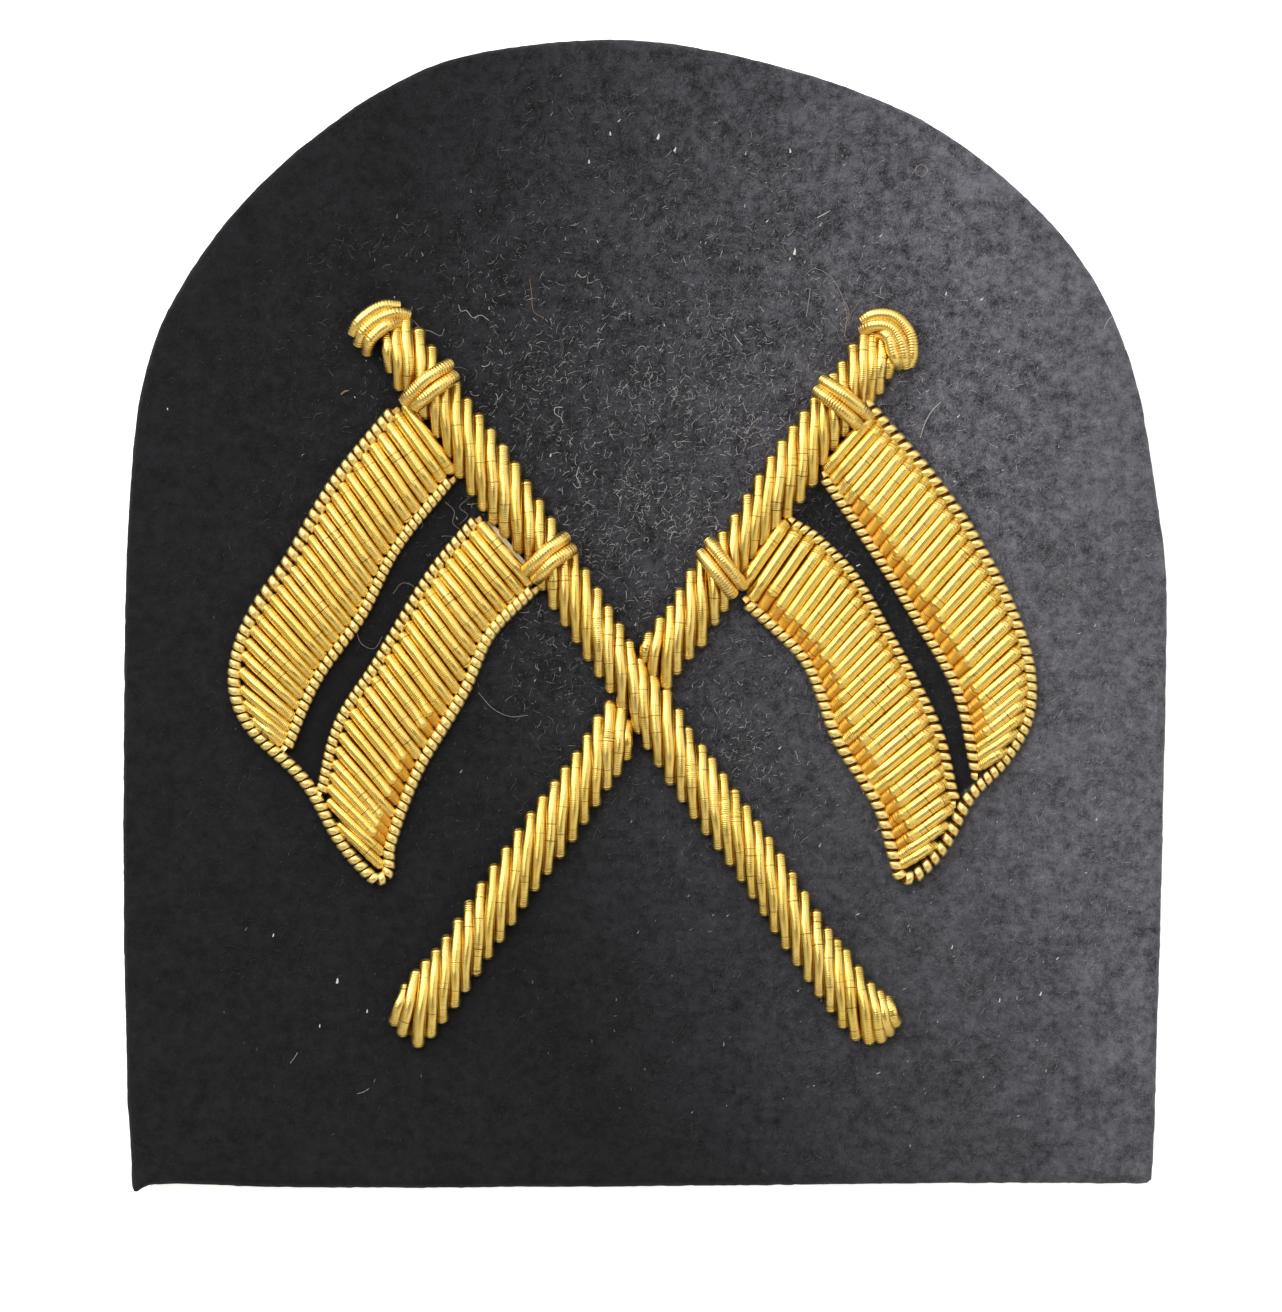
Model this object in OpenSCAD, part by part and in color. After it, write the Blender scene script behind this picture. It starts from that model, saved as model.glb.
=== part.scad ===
// Embroidered badge: an arched felt patch with two crossed staffs and their signal flags in padded gold
// wire. The patch lies on its back in the XY plane, with the arch towards +Y and the embroidery upwards.

/* [Patch] */
// Width of the felt patch
patch_w = 78.3; // [72:0.1:84]
// Height of the felt patch from its straight foot to the top of the arch
patch_h = 86.4; // [80:0.1:92]
// Thickness of the felt
felt_t = 1.6; // [1.2:0.1:2.4]
// Rounding of the cut edge
edge_soft = 0.3; // [0.1:0.05:0.5]
// How much of the drawn lift the edges keep, from pressed flat to well curled
edge_curl = 1.0; // [0:0.1:1.5]

/* [Gold wire] */
// Diameter of the smooth wire tubes
wire_d = 0.8; // [0.7:0.02:0.84]
// Diameter of the beaded border wire
bead_d = 0.84; // [0.7:0.02:0.88]
// Clearance between one sewn piece and the next
gap = 0.06; // [0.04:0.01:0.1]

/* [Staffs] */
// Height of the padded staffs over the felt
staff_rise = 1.8; // [1.4:0.1:2.4]
// Wire tubes along the staff that passes over
over_wires = 45; // [40:1:48]
// Wire tubes along the upper half of the staff that passes under
upper_wires = 24; // [20:1:26]
// Wire tubes along its lower half
lower_wires = 21; // [18:1:23]

/* [Flags] */
// Height of the padded flag stripes over the felt
stripe_rise = 1.35; // [1.1:0.05:1.8]
// Wire tubes along each stripe of the left flag, outer and inner
left_wires = [29, 27]; // [20:1:34]
// Wire tubes along each stripe of the right flag, outer and inner
right_wires = [29, 29]; // [20:1:34]

/* [Hidden] */

// The tables below are drawn at the patch's own size, and follow it when it changes
drawn = [78.3, 86.4];
grow = [patch_w / drawn[0], patch_h / drawn[1]];

// Height at which the embroidery starts, just clear of the felt
sewn_z = felt_t + gap;
// Height of a tube's cut end over the felt, and depth of the groove between two tubes
tip_h = 0.9 * wire_d;
groove = 0.4 * wire_d;

// Outline of the patch, anticlockwise from the middle of the right side: x, y, lift of the edge
OUTLINE = [
    [39.15, 0, 0.1], [38.95, 5, 0.1], [38.1, 11, 0.2], [36.7, 18.2, 0.3], [34.1, 24.5, 0.2],
    [30.1, 29.9, 0.3], [22.9, 36, 0.2], [15.7, 39.5, 0.1], [8, 41.8, 0.2], [0, 43.2, 0.1],
    [-8, 43, 0], [-16, 41.3, 0.2], [-23.9, 36.7, 0.4], [-31, 30.1, 0.3], [-35.9, 22.8, 0.1],
    [-37.8, 17, 0.1], [-38.6, 10, 0.2], [-39, 1, 0.1], [-39.15, -18, 0.2], [-38.85, -35, 0.4],
    [-38.5, -41, 0.8], [-38.25, -43.1, 1.1], [-37.2, -42.6, 0.8], [-33.2, -42.6, 0.3],
    [-27, -42.85, 0.1], [0, -42.75, 0.2], [26.6, -42.5, 0.1], [36, -42.5, 0.5],
    [37.5, -42.25, 0.6], [38.05, -41.5, 0.6], [38.3, -36, 0.3], [38.9, -14, 0.1]
];
// Sections along the staff that passes over: number of the wire tube, its upper x, y and its lower x, y
OVER_STAFF = [
    [0, -19.5, 21.4, -19.05, 18.5], [1, -18.75, 22.0, -18.4, 17.2], [2, -18.0, 22.3, -17.6, 16.4],
    [3, -16.95, 21.3, -16.45, 15.3], [7, -13.35, 16.1, -12.95, 9.3], [10, -10.7, 12.6, -10.4, 6.2],
    [14, -7.1, 7.15, -6.8, 0.8], [18, -3.6, 1.9, -3.4, -4.3], [22, -0.4, -3.35, 0.2, -9.7],
    [26, 3.25, -8.5, 3.7, -14.9], [30, 6.6, -13.1, 7.3, -19.6], [34, 10.1, -18.0, 10.6, -24.7],
    [38, 13.65, -23.6, 13.95, -29.4], [42, 16.85, -27.7, 17.7, -31.7], [44, 18.15, -28.7, 18.8, -30.5]
];
// The same along the upper half of the staff that passes under, from its top
UPPER_STAFF = [
    [0, 18.35, 19.7, 18.15, 18.1], [1, 17.8, 20.7, 17.5, 16.9], [3, 16.45, 21.2, 16.15, 15.7],
    [5, 14.8, 18.85, 14.9, 14.0], [7, 13.5, 17.1, 13.3, 11.6], [8, 12.75, 16.2, 12.5, 10.0],
    [12, 9.5, 11.75, 8.8, 5.8], [14, 7.7, 8.9, 7.3, 3.4], [16, 5.85, 6.1, 5.75, 0.75],
    [19, 3.5, 3.25, 3.25, -2.9], [21, 1.95, 0.65, 1.65, -4.9], [22, 1.15, -0.3, 0.65, -4.2],
    [23, 0.4, -1.4, 0.1, -3.0]
];
// The same along its lower half, from the crossing
LOWER_STAFF = [
    [0, -1.6, -8.5, -1.65, -10.3], [1, -2.0, -7.25, -2.2, -11.6], [2, -2.65, -6.6, -2.9, -12.7],
    [5, -5.1, -10.4, -5.5, -16.6], [8, -7.6, -13.7, -8.3, -20.3], [12, -11.3, -18.85, -11.8, -25.4],
    [16, -14.85, -24.2, -15.2, -30.2], [18, -16.35, -26.05, -17.0, -32.0],
    [20, -17.9, -27.8, -18.8, -30.4]
];
// Sections along each flag stripe from its staff: number of the wire tube, outer x, y and inner x, y
LEFT_OUTER = [
    [0, -17.9, 15.0, -15.0, 11.25], [8, -22.55, 9.6, -19.4, 5.0], [18, -27.3, 2.1, -23.65, -2.3],
    [24, -29.9, -2.9, -26.1, -6.6], [26, -30.1, -5.4, -26.7, -8.3], [28, -29.1, -7.3, -27.0, -9.3]
];
LEFT_INNER = [
    [0, -12.35, 6.65, -9.3, 2.8], [12, -18.6, -2.3, -15.15, -7.0], [21, -22.9, -10.0, -19.15, -14.4],
    [24, -23.5, -12.8, -19.85, -16.5], [26, -22.8, -15.6, -20.1, -18.2]
];
RIGHT_OUTER = [
    [0, 17.0, 14.4, 14.05, 11.0], [6, 20.6, 11.1, 16.9, 6.6], [16, 25.9, 2.8, 21.8, -1.6],
    [22, 28.2, -3.4, 24.2, -6.9], [26, 28.2, -7.3, 24.95, -9.7], [28, 27.2, -9.5, 25.4, -10.7]
];
RIGHT_INNER = [
    [0, 10.65, 6.55, 7.95, 2.65], [4, 13.6, 4.1, 10.3, -0.4], [14, 18.5, -3.5, 14.4, -7.4],
    [21, 21.3, -9.6, 17.2, -12.9], [26, 22.6, -14.4, 18.85, -17.0], [28, 21.2, -17.2, 19.4, -18.3]
];
// Routes of the beaded border wire, with its points closest round the tips: x, y
LEFT_BORDER = [
    [-18.75, 15.6], [-23.3, 10.0], [-26.5, 4.5], [-29.9, -0.8], [-30.8, -4.8], [-29.7, -8],
    [-25.5, -12.2], [-22.9, -16.6], [-20.8, -19.1], [-20.0, -19.6], [-19.3, -19.1], [-19.1, -17.0],
    [-17.1, -11.6], [-13.5, -5.4], [-11.6, -1.2], [-8.6, 2.0]
];
LEFT_OUTER_EDGE = [[-14.5, 10.4], [-18.5, 5.4], [-21.3, 0.1], [-24.6, -4.6], [-26.9, -9.9]];
LEFT_INNER_EDGE = [[-12.6, 7.6], [-15.9, 3.4], [-20.0, -3.3], [-23.0, -8.1], [-24.2, -12.9]];
RIGHT_BORDER = [
    [17.2, 15.4], [22.4, 9.3], [26.3, 3], [28.6, -2.7], [28.8, -7], [27.1, -10.4], [24.3, -13.4],
    [22.5, -16.8], [20.9, -18.7], [19.9, -19.4], [19.1, -19.2], [18.7, -18.0], [17.5, -14],
    [14.5, -9.1], [12.2, -3.4], [9.4, -0.4], [7.6, 1.1]
];
RIGHT_OUTER_EDGE = [[13.3, 10.7], [16.5, 6.1], [20.4, 0], [23.4, -5.3], [24.8, -11.2]];
RIGHT_INNER_EDGE = [[11.0, 7.2], [14.6, 4.3], [19.2, -3.0], [22.4, -9.9], [23.1, -13.3]];
// Ties over the staffs: x, y of each tube's end at the flag, its middle and its free end
LEFT_UPPER_TIE = [[[-18.3, 15.9], [-16.5, 17.6], [-14.5, 19.0]], [[-17.4, 15.5], [-15.8, 17.0], [-14.0, 18.2]]];
LEFT_LOWER_TIE = [[[-9.0, 3.5], [-7.4, 4.7], [-5.4, 6.3]], [[-8.4, 2.75], [-6.8, 3.9], [-5.1, 5.2]]];
RIGHT_UPPER_TIE = [[[16.5, 15.3], [14.8, 16.6], [13.2, 17.8]], [[15.9, 14.5], [14.1, 15.8], [12.5, 17.0]]];
RIGHT_LOWER_TIE = [[[7.2, 2.4], [6.0, 4.2], [4.6, 5.8]], [[6.6, 1.6], [5.3, 3.4], [3.9, 5.1]]];
// Curved tubes of the finials, from the outermost inwards: x, y
LEFT_FINIAL = [
    [[-21.8, 21.0], [-21.35, 22.2], [-20.4, 23.0], [-19.0, 23.6]],
    [[-21.35, 20.2], [-20.8, 21.6], [-20.0, 22.35], [-18.5, 22.9]],
    [[-20.55, 19.8], [-20.45, 20.4], [-20.3, 21.0]]
];
RIGHT_FINIAL = [
    [[16.2, 21.9], [17.4, 22.7], [18.9, 22.2], [19.9, 20.8], [19.5, 18.6]],
    [[17.1, 21.8], [18.3, 21.6], [19.1, 20.3]]
];

// Length along a route up to each of its points
function marks(rows) = [
    for (i = 0, s = 0; i < len(rows); s = s + norm(rows[min(i + 1, len(rows) - 1)] - rows[i]), i = i + 1)
    s
];
function slope(rows, at, i) =
    let (a = max(i - 1, 0), b = min(i + 1, len(rows) - 1))
    (rows[b] - rows[a]) / (at[b] - at[a]);
function span_of(at, s, i = 0) = i >= len(at) - 2 || s < at[i + 1] ? i : span_of(at, s, i + 1);
// Row on the smooth curve through a table whose rows stand at the marks
function smooth(rows, at, s) =
    let (
        i = span_of(at, s),
        h = at[i + 1] - at[i],
        t = (s - at[i]) / h,
        u = 1 - t
    )
    rows[i] * (1 + 2 * t) * u * u + slope(rows, at, i) * h * t * u * u
    + rows[i + 1] * t * t * (3 - 2 * t) - slope(rows, at, i + 1) * h * t * t * u;
// So many points of the curve in each span from one row to another
function refined(rows, at, per_span, first, last) = [
    for (i = [first : last])
        for (k = [0 : per_span - 1])
            smooth(rows, at, at[i] + (at[i + 1] - at[i]) * k / per_span)
];
function scaled(p) = [p[0] * grow[0], p[1] * grow[1]];
function border_line(route) =
    let (points = [for (p = route) scaled(p)])
    concat(refined(points, marks(points), RINGS, 0, len(points) - 2), [points[len(points) - 1]]);
function lifted(p, z) = [p[0], p[1], z];
function unit(v) = v / norm(v);
// Distance from a point to a line of points
function reach(p, line) = min([
    for (i = [0 : len(line) - 2])
        let (
            a = line[i],
            ab = line[i + 1] - a,
            t = max(0, min(1, (p - a) * ab / (ab * ab)))
        )
        norm(p - a - ab * t)
]);
// A tube's end, cut back towards its other end until it clears the border wires
function cut_back(p, other, borders, tries = 3) =
    len(borders) == 0 || tries == 0 ? p
    : let (
        d = unit(other - p),
        side = [-d[1], d[0]] * wire_d / 2,
        near = min([for (line = borders) each [reach(p, line), reach(p + side, line), reach(p - side, line)]]),
        short = bead_d / 2 + END_CLEAR - near
    )
    short <= 0 ? p : cut_back(p + d * short, other, borders, tries - 1);
function flipped(faces, flip) = flip ? [for (f = faces) [f[2], f[1], f[0]]] : faces;

// Triangles between two rows of points, always across the shorter diagonal
function ladder(pts, a, b, i = 0, j = 0) =
    i == len(a) - 1 && j == len(b) - 1 ? []
    : let (
        stay_b = j == len(b) - 1,
        stay_a = i == len(a) - 1,
        on_a = stay_b || !stay_a && norm(pts[a[i + 1]] - pts[b[j]]) < norm(pts[a[i]] - pts[b[j + 1]])
    )
    on_a
        ? concat([[a[i], b[j], a[i + 1]]], ladder(pts, a, b, i + 1, j))
        : concat([[a[i], b[j], b[j + 1]]], ladder(pts, a, b, i, j + 1));

// A padded field of wire tubes laid side by side. Each tube bows from one cut end over the padding to the
// other, with a groove between neighbours, and stands back or forward of them as the table says. Where a
// field is bordered, its tubes are cut to fit between the border wires.
STEPS = 4;
MIN_STEP = 0.1;
END_CLEAR = 2 * gap;
function bow(t, flat) = 1 - pow(abs(2 * t - 1), flat);
module wire_field(rows, count, rise, flat, borders = []) {
    number = [for (row = rows) row[0]];
    wires = [
        for (i = [0 : count - 1])
            smooth(rows, number, number[len(number) - 1] * i / (count - 1))
    ];
    lines = [for (route = borders) border_line(route)];
    s = [for (w = wires) cut_back(scaled([w[1], w[2]]), scaled([w[3], w[4]]), lines)];
    e = [for (w = wires) cut_back(scaled([w[3], w[4]]), scaled([w[1], w[2]]), lines)];
    ridge = [
        for (i = [0 : count - 1])
            for (k = [0 : STEPS])
                let (t = k / STEPS)
                lifted(s[i] + (e[i] - s[i]) * t, sewn_z + tip_h + (rise - tip_h) * bow(t, flat))
    ];
    // Inner groove lines: far and near corner at each end, with the groove between the near ones
    seams = [
        for (i = [0 : count - 2])
            let (
                a = (s[i] + s[i + 1]) / 2,
                b = (e[i] + e[i + 1]) / 2,
                d = unit(b - a),
                step_a = max(abs((s[i + 1] - s[i]) * d), MIN_STEP) / 2,
                step_b = max(abs((e[i + 1] - e[i]) * d), MIN_STEP) / 2,
                near_a = a + d * step_a,
                near_b = b - d * step_b
            )
            concat(
                [lifted(a - d * step_a, sewn_z), lifted(near_a, sewn_z)],
                [
                    for (k = [1 : STEPS - 1])
                        let (t = k / STEPS)
                        lifted(near_a + (near_b - near_a) * t, sewn_z + tip_h - groove + (rise - tip_h) * bow(t, flat))
                ],
                [lifted(near_b, sewn_z), lifted(b + d * step_b, sewn_z)]
            )
    ];
    sides = [
        for (i = [0, count - 1])
            let (
                d = unit(e[i] - s[i]),
                n = [-d[1], d[0]],
                inward = i == 0 ? s[1] - s[0] : s[count - 2] - s[count - 1],
                out = n * inward > 0 ? -n : n
            )
            each [lifted(s[i] + out * wire_d / 2, sewn_z), lifted(e[i] + out * wire_d / 2, sewn_z)]
    ];
    pts = concat(ridge, [for (line = seams) each line], sides);
    ridge_n = len(ridge);
    seam_n = STEPS + 3;
    side_n = ridge_n + seam_n * (count - 1);
    // Points of the groove line before tube i that belong to it, at its foot and over the padding
    function starts_first(i) = (s[i + 1] - s[i]) * (e[i] - s[i]) > 0;
    function ends_last(i) = (e[i + 1] - e[i]) * (e[i] - s[i]) > 0;
    function seam_line(i, far_a, far_b, over) =
        let (o = ridge_n + seam_n * i)
        concat(
            far_a ? [o] : [],
            [o + 1],
            over ? [for (k = [2 : STEPS]) o + k] : [],
            [o + STEPS + 1],
            far_b ? [o + STEPS + 2] : []
        );
    function before(i, over) =
        i == 0 ? [side_n, side_n + 1] : seam_line(i - 1, !starts_first(i - 1), ends_last(i - 1), over);
    function after(i, over) =
        i == count - 1 ? [side_n + 2, side_n + 3] : seam_line(i, starts_first(i), !ends_last(i), over);
    across = s[1] - s[0];
    ahead = e[0] - s[0];
    turned = ahead[0] * across[1] - ahead[1] * across[0] > 0;
    faces = [
        for (i = [0 : count - 1])
            let (
                top = [for (k = [0 : STEPS]) i * (STEPS + 1) + k],
                left = before(i, true),
                right = after(i, true),
                foot_left = before(i, false),
                foot_right = after(i, false),
                roof = concat(ladder(pts, left, top), ladder(pts, top, right)),
                floor = ladder(pts, foot_left, foot_right),
                ends = [
                    [left[0], top[0], right[0]],
                    [right[len(right) - 1], top[STEPS], left[len(left) - 1]]
                ]
            )
            each concat(flipped(roof, true), floor, ends)
    ];
    polyhedron(pts, flipped(faces, turned));
}

// A round wire swept along a route of x, y, z, with two rings in each span of it
SIDES = 8;
RINGS = 2;
module swept(route, d) {
    line = concat(refined(route, marks(route), RINGS, 0, len(route) - 2), [route[len(route) - 1]]);
    count = len(line);
    pts = [
        for (i = [0 : count - 1])
            let (
                ahead = unit(line[min(i + 1, count - 1)] - line[max(i - 1, 0)]),
                side = unit(cross(ahead, [0, 0, 1])),
                up = cross(side, ahead)
            )
            for (k = [0 : SIDES - 1])
                let (a = 360 * (k + 0.5) / SIDES)
                line[i] + d / 2 * (cos(a) * side + sin(a) * up)
    ];
    wall = [
        for (i = [0 : count - 2])
            for (k = [0 : SIDES - 1])
                let (a = i * SIDES + k, b = i * SIDES + (k + 1) % SIDES)
                each [[a, b, b + SIDES], [a, b + SIDES, a + SIDES]]
    ];
    head = [for (k = [SIDES - 1 : -1 : 0]) k];
    tail = [for (k = [0 : SIDES - 1]) (count - 1) * SIDES + k];
    polyhedron(pts, concat(wall, [head, tail]));
}

// A beaded border wire lying on the felt
module border_wire(route) {
    color("goldenrod") swept([for (p = route) lifted(scaled(p), sewn_z + bead_d / 2)], bead_d);
}

// Two wire tubes laid over a staff. Their flag ends rest on the flag's corner, the others come down to the felt.
TIE_REACH = 0.3;
TIE_BEND = 0.8;
module tie(tubes) {
    top_z = sewn_z + staff_rise + gap + wire_d / 2;
    flag_z = sewn_z + bead_d + gap + wire_d / 2;
    foot_z = sewn_z + wire_d / 2;
    bend_z = foot_z + TIE_BEND * (top_z - foot_z);
    for (t = tubes) {
        route = [
            lifted(scaled(t[0]), flag_z),
            lifted(scaled(t[0] + (t[1] - t[0]) * TIE_REACH), bend_z),
            lifted(scaled(t[1]), top_z),
            lifted(scaled(t[2] + (t[1] - t[2]) * TIE_REACH), bend_z),
            lifted(scaled(t[2]), foot_z)
        ];
        color("goldenrod") swept(route, wire_d);
    }
}

// Curved tubes side by side, bowed up over a low dome of padding and a little finer than the others
FINIAL_BOW = 0.5;
finial_d = 0.78 * wire_d;
module finial(tubes) {
    for (t = tubes) {
        n = len(t) - 1;
        route = [for (i = [0 : n]) lifted(scaled(t[i]), sewn_z + finial_d / 2 + FINIAL_BOW * bow(i / n, 2))];
        color("goldenrod") swept(route, finial_d);
    }
}

// Felt patch: rings of the outline from the flat back, round the cut edge, to the flat front
RIM_POINTS = 3;
CENTRE_CUT = 0.15;
module felt_patch() {
    closed = concat([OUTLINE[len(OUTLINE) - 1]], OUTLINE, [OUTLINE[0], OUTLINE[1]]);
    rim = refined(closed, marks([for (r = closed) [r[0], r[1]]]), RIM_POINTS, 1, len(OUTLINE));
    soft = 1 - edge_soft / (patch_w / 2);
    // Share of the outline's size, height in the felt, share of the edge's lift
    rings = [
        [0.8, -CENTRE_CUT, 0], [0.9, -CENTRE_CUT, 0.35], [0.97, -CENTRE_CUT, 0.8], [soft, 0, 1],
        [1, edge_soft, 1], [1, felt_t - edge_soft, 1],
        [soft, felt_t, 1], [0.97, felt_t, 0.75], [0.9, felt_t, 0.25], [0.8, felt_t, 0]
    ];
    n = len(rim);
    pts = concat(
        [for (r = rings) for (p = rim) lifted(scaled(p) * r[0], r[1] + p[2] * edge_curl * r[2])],
        [[0, 0, -CENTRE_CUT], [0, 0, felt_t]]
    );
    last = (len(rings) - 1) * n;
    centre = len(rings) * n;
    wall = [
        for (r = [0 : len(rings) - 2])
            for (k = [0 : n - 1])
                let (a = r * n + k, b = r * n + (k + 1) % n)
                each [[a, a + n, b + n], [a, b + n, b]]
    ];
    back = [for (k = [0 : n - 1]) [centre, k, (k + 1) % n]];
    front = [for (k = [0 : n - 1]) [centre + 1, last + (k + 1) % n, last + k]];
    color([0.11, 0.11, 0.13]) difference() {
        polyhedron(pts, concat(wall, back, front));
        translate([-patch_w, -patch_h, -felt_t]) cube([2 * patch_w, 2 * patch_h, felt_t]);
    }
}

module over_staff() {
    color("gold") wire_field(OVER_STAFF, over_wires, staff_rise, 2);
}
module under_staff_upper() {
    color("gold") wire_field(UPPER_STAFF, upper_wires, staff_rise, 2);
}
module under_staff_lower() {
    color("gold") wire_field(LOWER_STAFF, lower_wires, staff_rise, 2);
}
module left_outer_stripe() {
    color("gold") wire_field(LEFT_OUTER, left_wires[0], stripe_rise, 4, [LEFT_BORDER, LEFT_OUTER_EDGE]);
}
module left_inner_stripe() {
    color("gold") wire_field(LEFT_INNER, left_wires[1], stripe_rise, 4, [LEFT_BORDER, LEFT_INNER_EDGE]);
}
module right_outer_stripe() {
    color("gold") wire_field(RIGHT_OUTER, right_wires[0], stripe_rise, 4, [RIGHT_BORDER, RIGHT_OUTER_EDGE]);
}
module right_inner_stripe() {
    color("gold") wire_field(RIGHT_INNER, right_wires[1], stripe_rise, 4, [RIGHT_BORDER, RIGHT_INNER_EDGE]);
}

felt_patch();
over_staff();
under_staff_upper();
under_staff_lower();
left_outer_stripe();
left_inner_stripe();
right_outer_stripe();
right_inner_stripe();
border_wire(LEFT_BORDER);  // left_flag_border
border_wire(LEFT_OUTER_EDGE);  // left_outer_edge
border_wire(LEFT_INNER_EDGE);  // left_inner_edge
border_wire(RIGHT_BORDER);  // right_flag_border
border_wire(RIGHT_OUTER_EDGE);  // right_outer_edge
border_wire(RIGHT_INNER_EDGE);  // right_inner_edge
tie(LEFT_UPPER_TIE);  // left_upper_tie
tie(LEFT_LOWER_TIE);  // left_lower_tie
tie(RIGHT_UPPER_TIE);  // right_upper_tie
tie(RIGHT_LOWER_TIE);  // right_lower_tie
finial(LEFT_FINIAL);  // left_finial
finial(RIGHT_FINIAL);  // right_finial
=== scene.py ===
# Embroidered badge: an arched patch of dark felt with two crossed staffs and their signal flags in gold
# wire. Lengths in the tables are millimetres on the patch: x to the right, y towards the arch, z outwards.
import math
import random

import bmesh
import bpy
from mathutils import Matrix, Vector, noise


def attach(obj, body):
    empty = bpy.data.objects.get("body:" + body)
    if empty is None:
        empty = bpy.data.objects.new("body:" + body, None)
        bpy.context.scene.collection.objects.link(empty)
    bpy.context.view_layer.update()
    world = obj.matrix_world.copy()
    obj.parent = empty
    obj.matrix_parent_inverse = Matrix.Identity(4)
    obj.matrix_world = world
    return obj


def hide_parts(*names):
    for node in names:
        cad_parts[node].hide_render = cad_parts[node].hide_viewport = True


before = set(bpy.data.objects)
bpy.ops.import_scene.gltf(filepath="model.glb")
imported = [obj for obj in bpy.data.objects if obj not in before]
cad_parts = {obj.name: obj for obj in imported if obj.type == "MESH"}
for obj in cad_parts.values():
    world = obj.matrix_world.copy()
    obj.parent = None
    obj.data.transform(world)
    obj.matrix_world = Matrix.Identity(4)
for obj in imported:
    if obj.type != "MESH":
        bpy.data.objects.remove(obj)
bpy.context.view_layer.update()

MM = 0.001

# The felt patch: thick wool felt, nearly black, cut by hand along an arch and a straight foot. It lies on
# its back. The cut edge is soft, its corners curl up a little, and the face has shallow dents and a nap.
FELT_THICK = 1.6
HALF_WIDTH = 39.15
FACE_CELLS = 176
# The share of the way out where the face starts to curl up, how far the back stays behind, and how far
# the face's middle height lies below the full thickness
CURL_FROM = 0.8
BACK_BEHIND = 0.12
FACE_BELOW = 0.02
# Depth and spacing of the dents and of the matting in the face, and of the ragged and the wavy cut
DENTS = (0.035, 5)
MATTING = (0.04, 0.9)
RAGGED_CUT = (0.05, 0.6)
WAVY_CUT = (0.04, 4)
# The rounding of the cut edge, from the face to the back: its share inwards, and its height in the felt
CUT_ROUNDING = 0.3
CUT_PROFILE = [(0.45, 0.9), (0.1, 0.8), (0, 0.62), (0.05, 0.4), (0.1, 0.2), (0.5, 0.05)]
# x and y of the cut line, and how far the face is curled up there
OUTLINE = [
    (39.15, 0, 0.1), (38.95, 5, 0.1), (38.1, 11, 0.2), (36.7, 18.2, 0.3), (34.1, 24.5, 0.2),
    (30.1, 29.9, 0.3), (22.9, 36, 0.2), (15.7, 39.5, 0.1), (8, 41.8, 0.2), (0, 43.2, 0.1),
    (-8, 43, 0), (-16, 41.3, 0.2), (-23.9, 36.7, 0.4), (-31, 30.1, 0.3), (-35.9, 22.8, 0.1),
    (-37.8, 17, 0.1), (-38.6, 10, 0.2), (-39, 1, 0.1), (-39.15, -18, 0.2), (-38.85, -35, 0.4),
    (-38.5, -41, 0.8), (-38.25, -43.1, 1.1), (-37.2, -42.6, 0.8), (-33.2, -42.6, 0.3),
    (-27, -42.85, 0.1), (0, -42.75, 0.2), (26.6, -42.5, 0.1), (36, -42.5, 0.5),
    (37.5, -42.5, 0.6), (37.95, -42.25, 0.6), (38.02, -41.4, 0.6), (38.3, -36, 0.3), (38.9, -14, 0.1),
]
# A painted sheen, light painted into the felt and its nap, grows from the lower left to the right:
# how it leans and bends with y, over what width, from what share in the middle and how suddenly.
# The dust specks thicken to the right over the same width.
SHEEN_LEAN = 0.22
SHEEN_BEND = 0.0047
SHEEN_AND_DUST_WIDTH = 45
SHEEN_MIDDLE = 0.4
SHEEN_POWER = 1.6


def marks_along(rows):
    """Length along a line of points up to each of them; the first two numbers of a row are its x and y."""
    at = [0.0]
    for a, b in zip(rows, rows[1:]):
        at.append(at[-1] + math.dist(a[:2], b[:2]))
    return at


def row_at(rows, at, s):
    """Row on the smooth curve through a table whose rows stand at the marks."""
    i = max(k for k in range(len(at) - 1) if k == 0 or at[k] <= s)
    h = at[i + 1] - at[i]
    t = (s - at[i]) / h
    u = 1 - t

    def slope(k):
        a, b = max(k - 1, 0), min(k + 1, len(rows) - 1)
        return [(q - p) / (at[b] - at[a]) for p, q in zip(rows[a], rows[b])]

    parts = zip(rows[i], slope(i), rows[i + 1], slope(i + 1))
    return [
        p * (1 + 2 * t) * u * u + m * h * t * u * u + q * t * t * (3 - 2 * t) - n * h * t * t * u
        for p, m, q, n in parts
    ]


def unevenness(depth_and_spacing, x, y, layer):
    """Height of a gently uneven surface at a place; each layer has bumps of its own."""
    depth, spacing = depth_and_spacing
    return noise.noise((x / spacing, y / spacing, layer)) * depth


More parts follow.
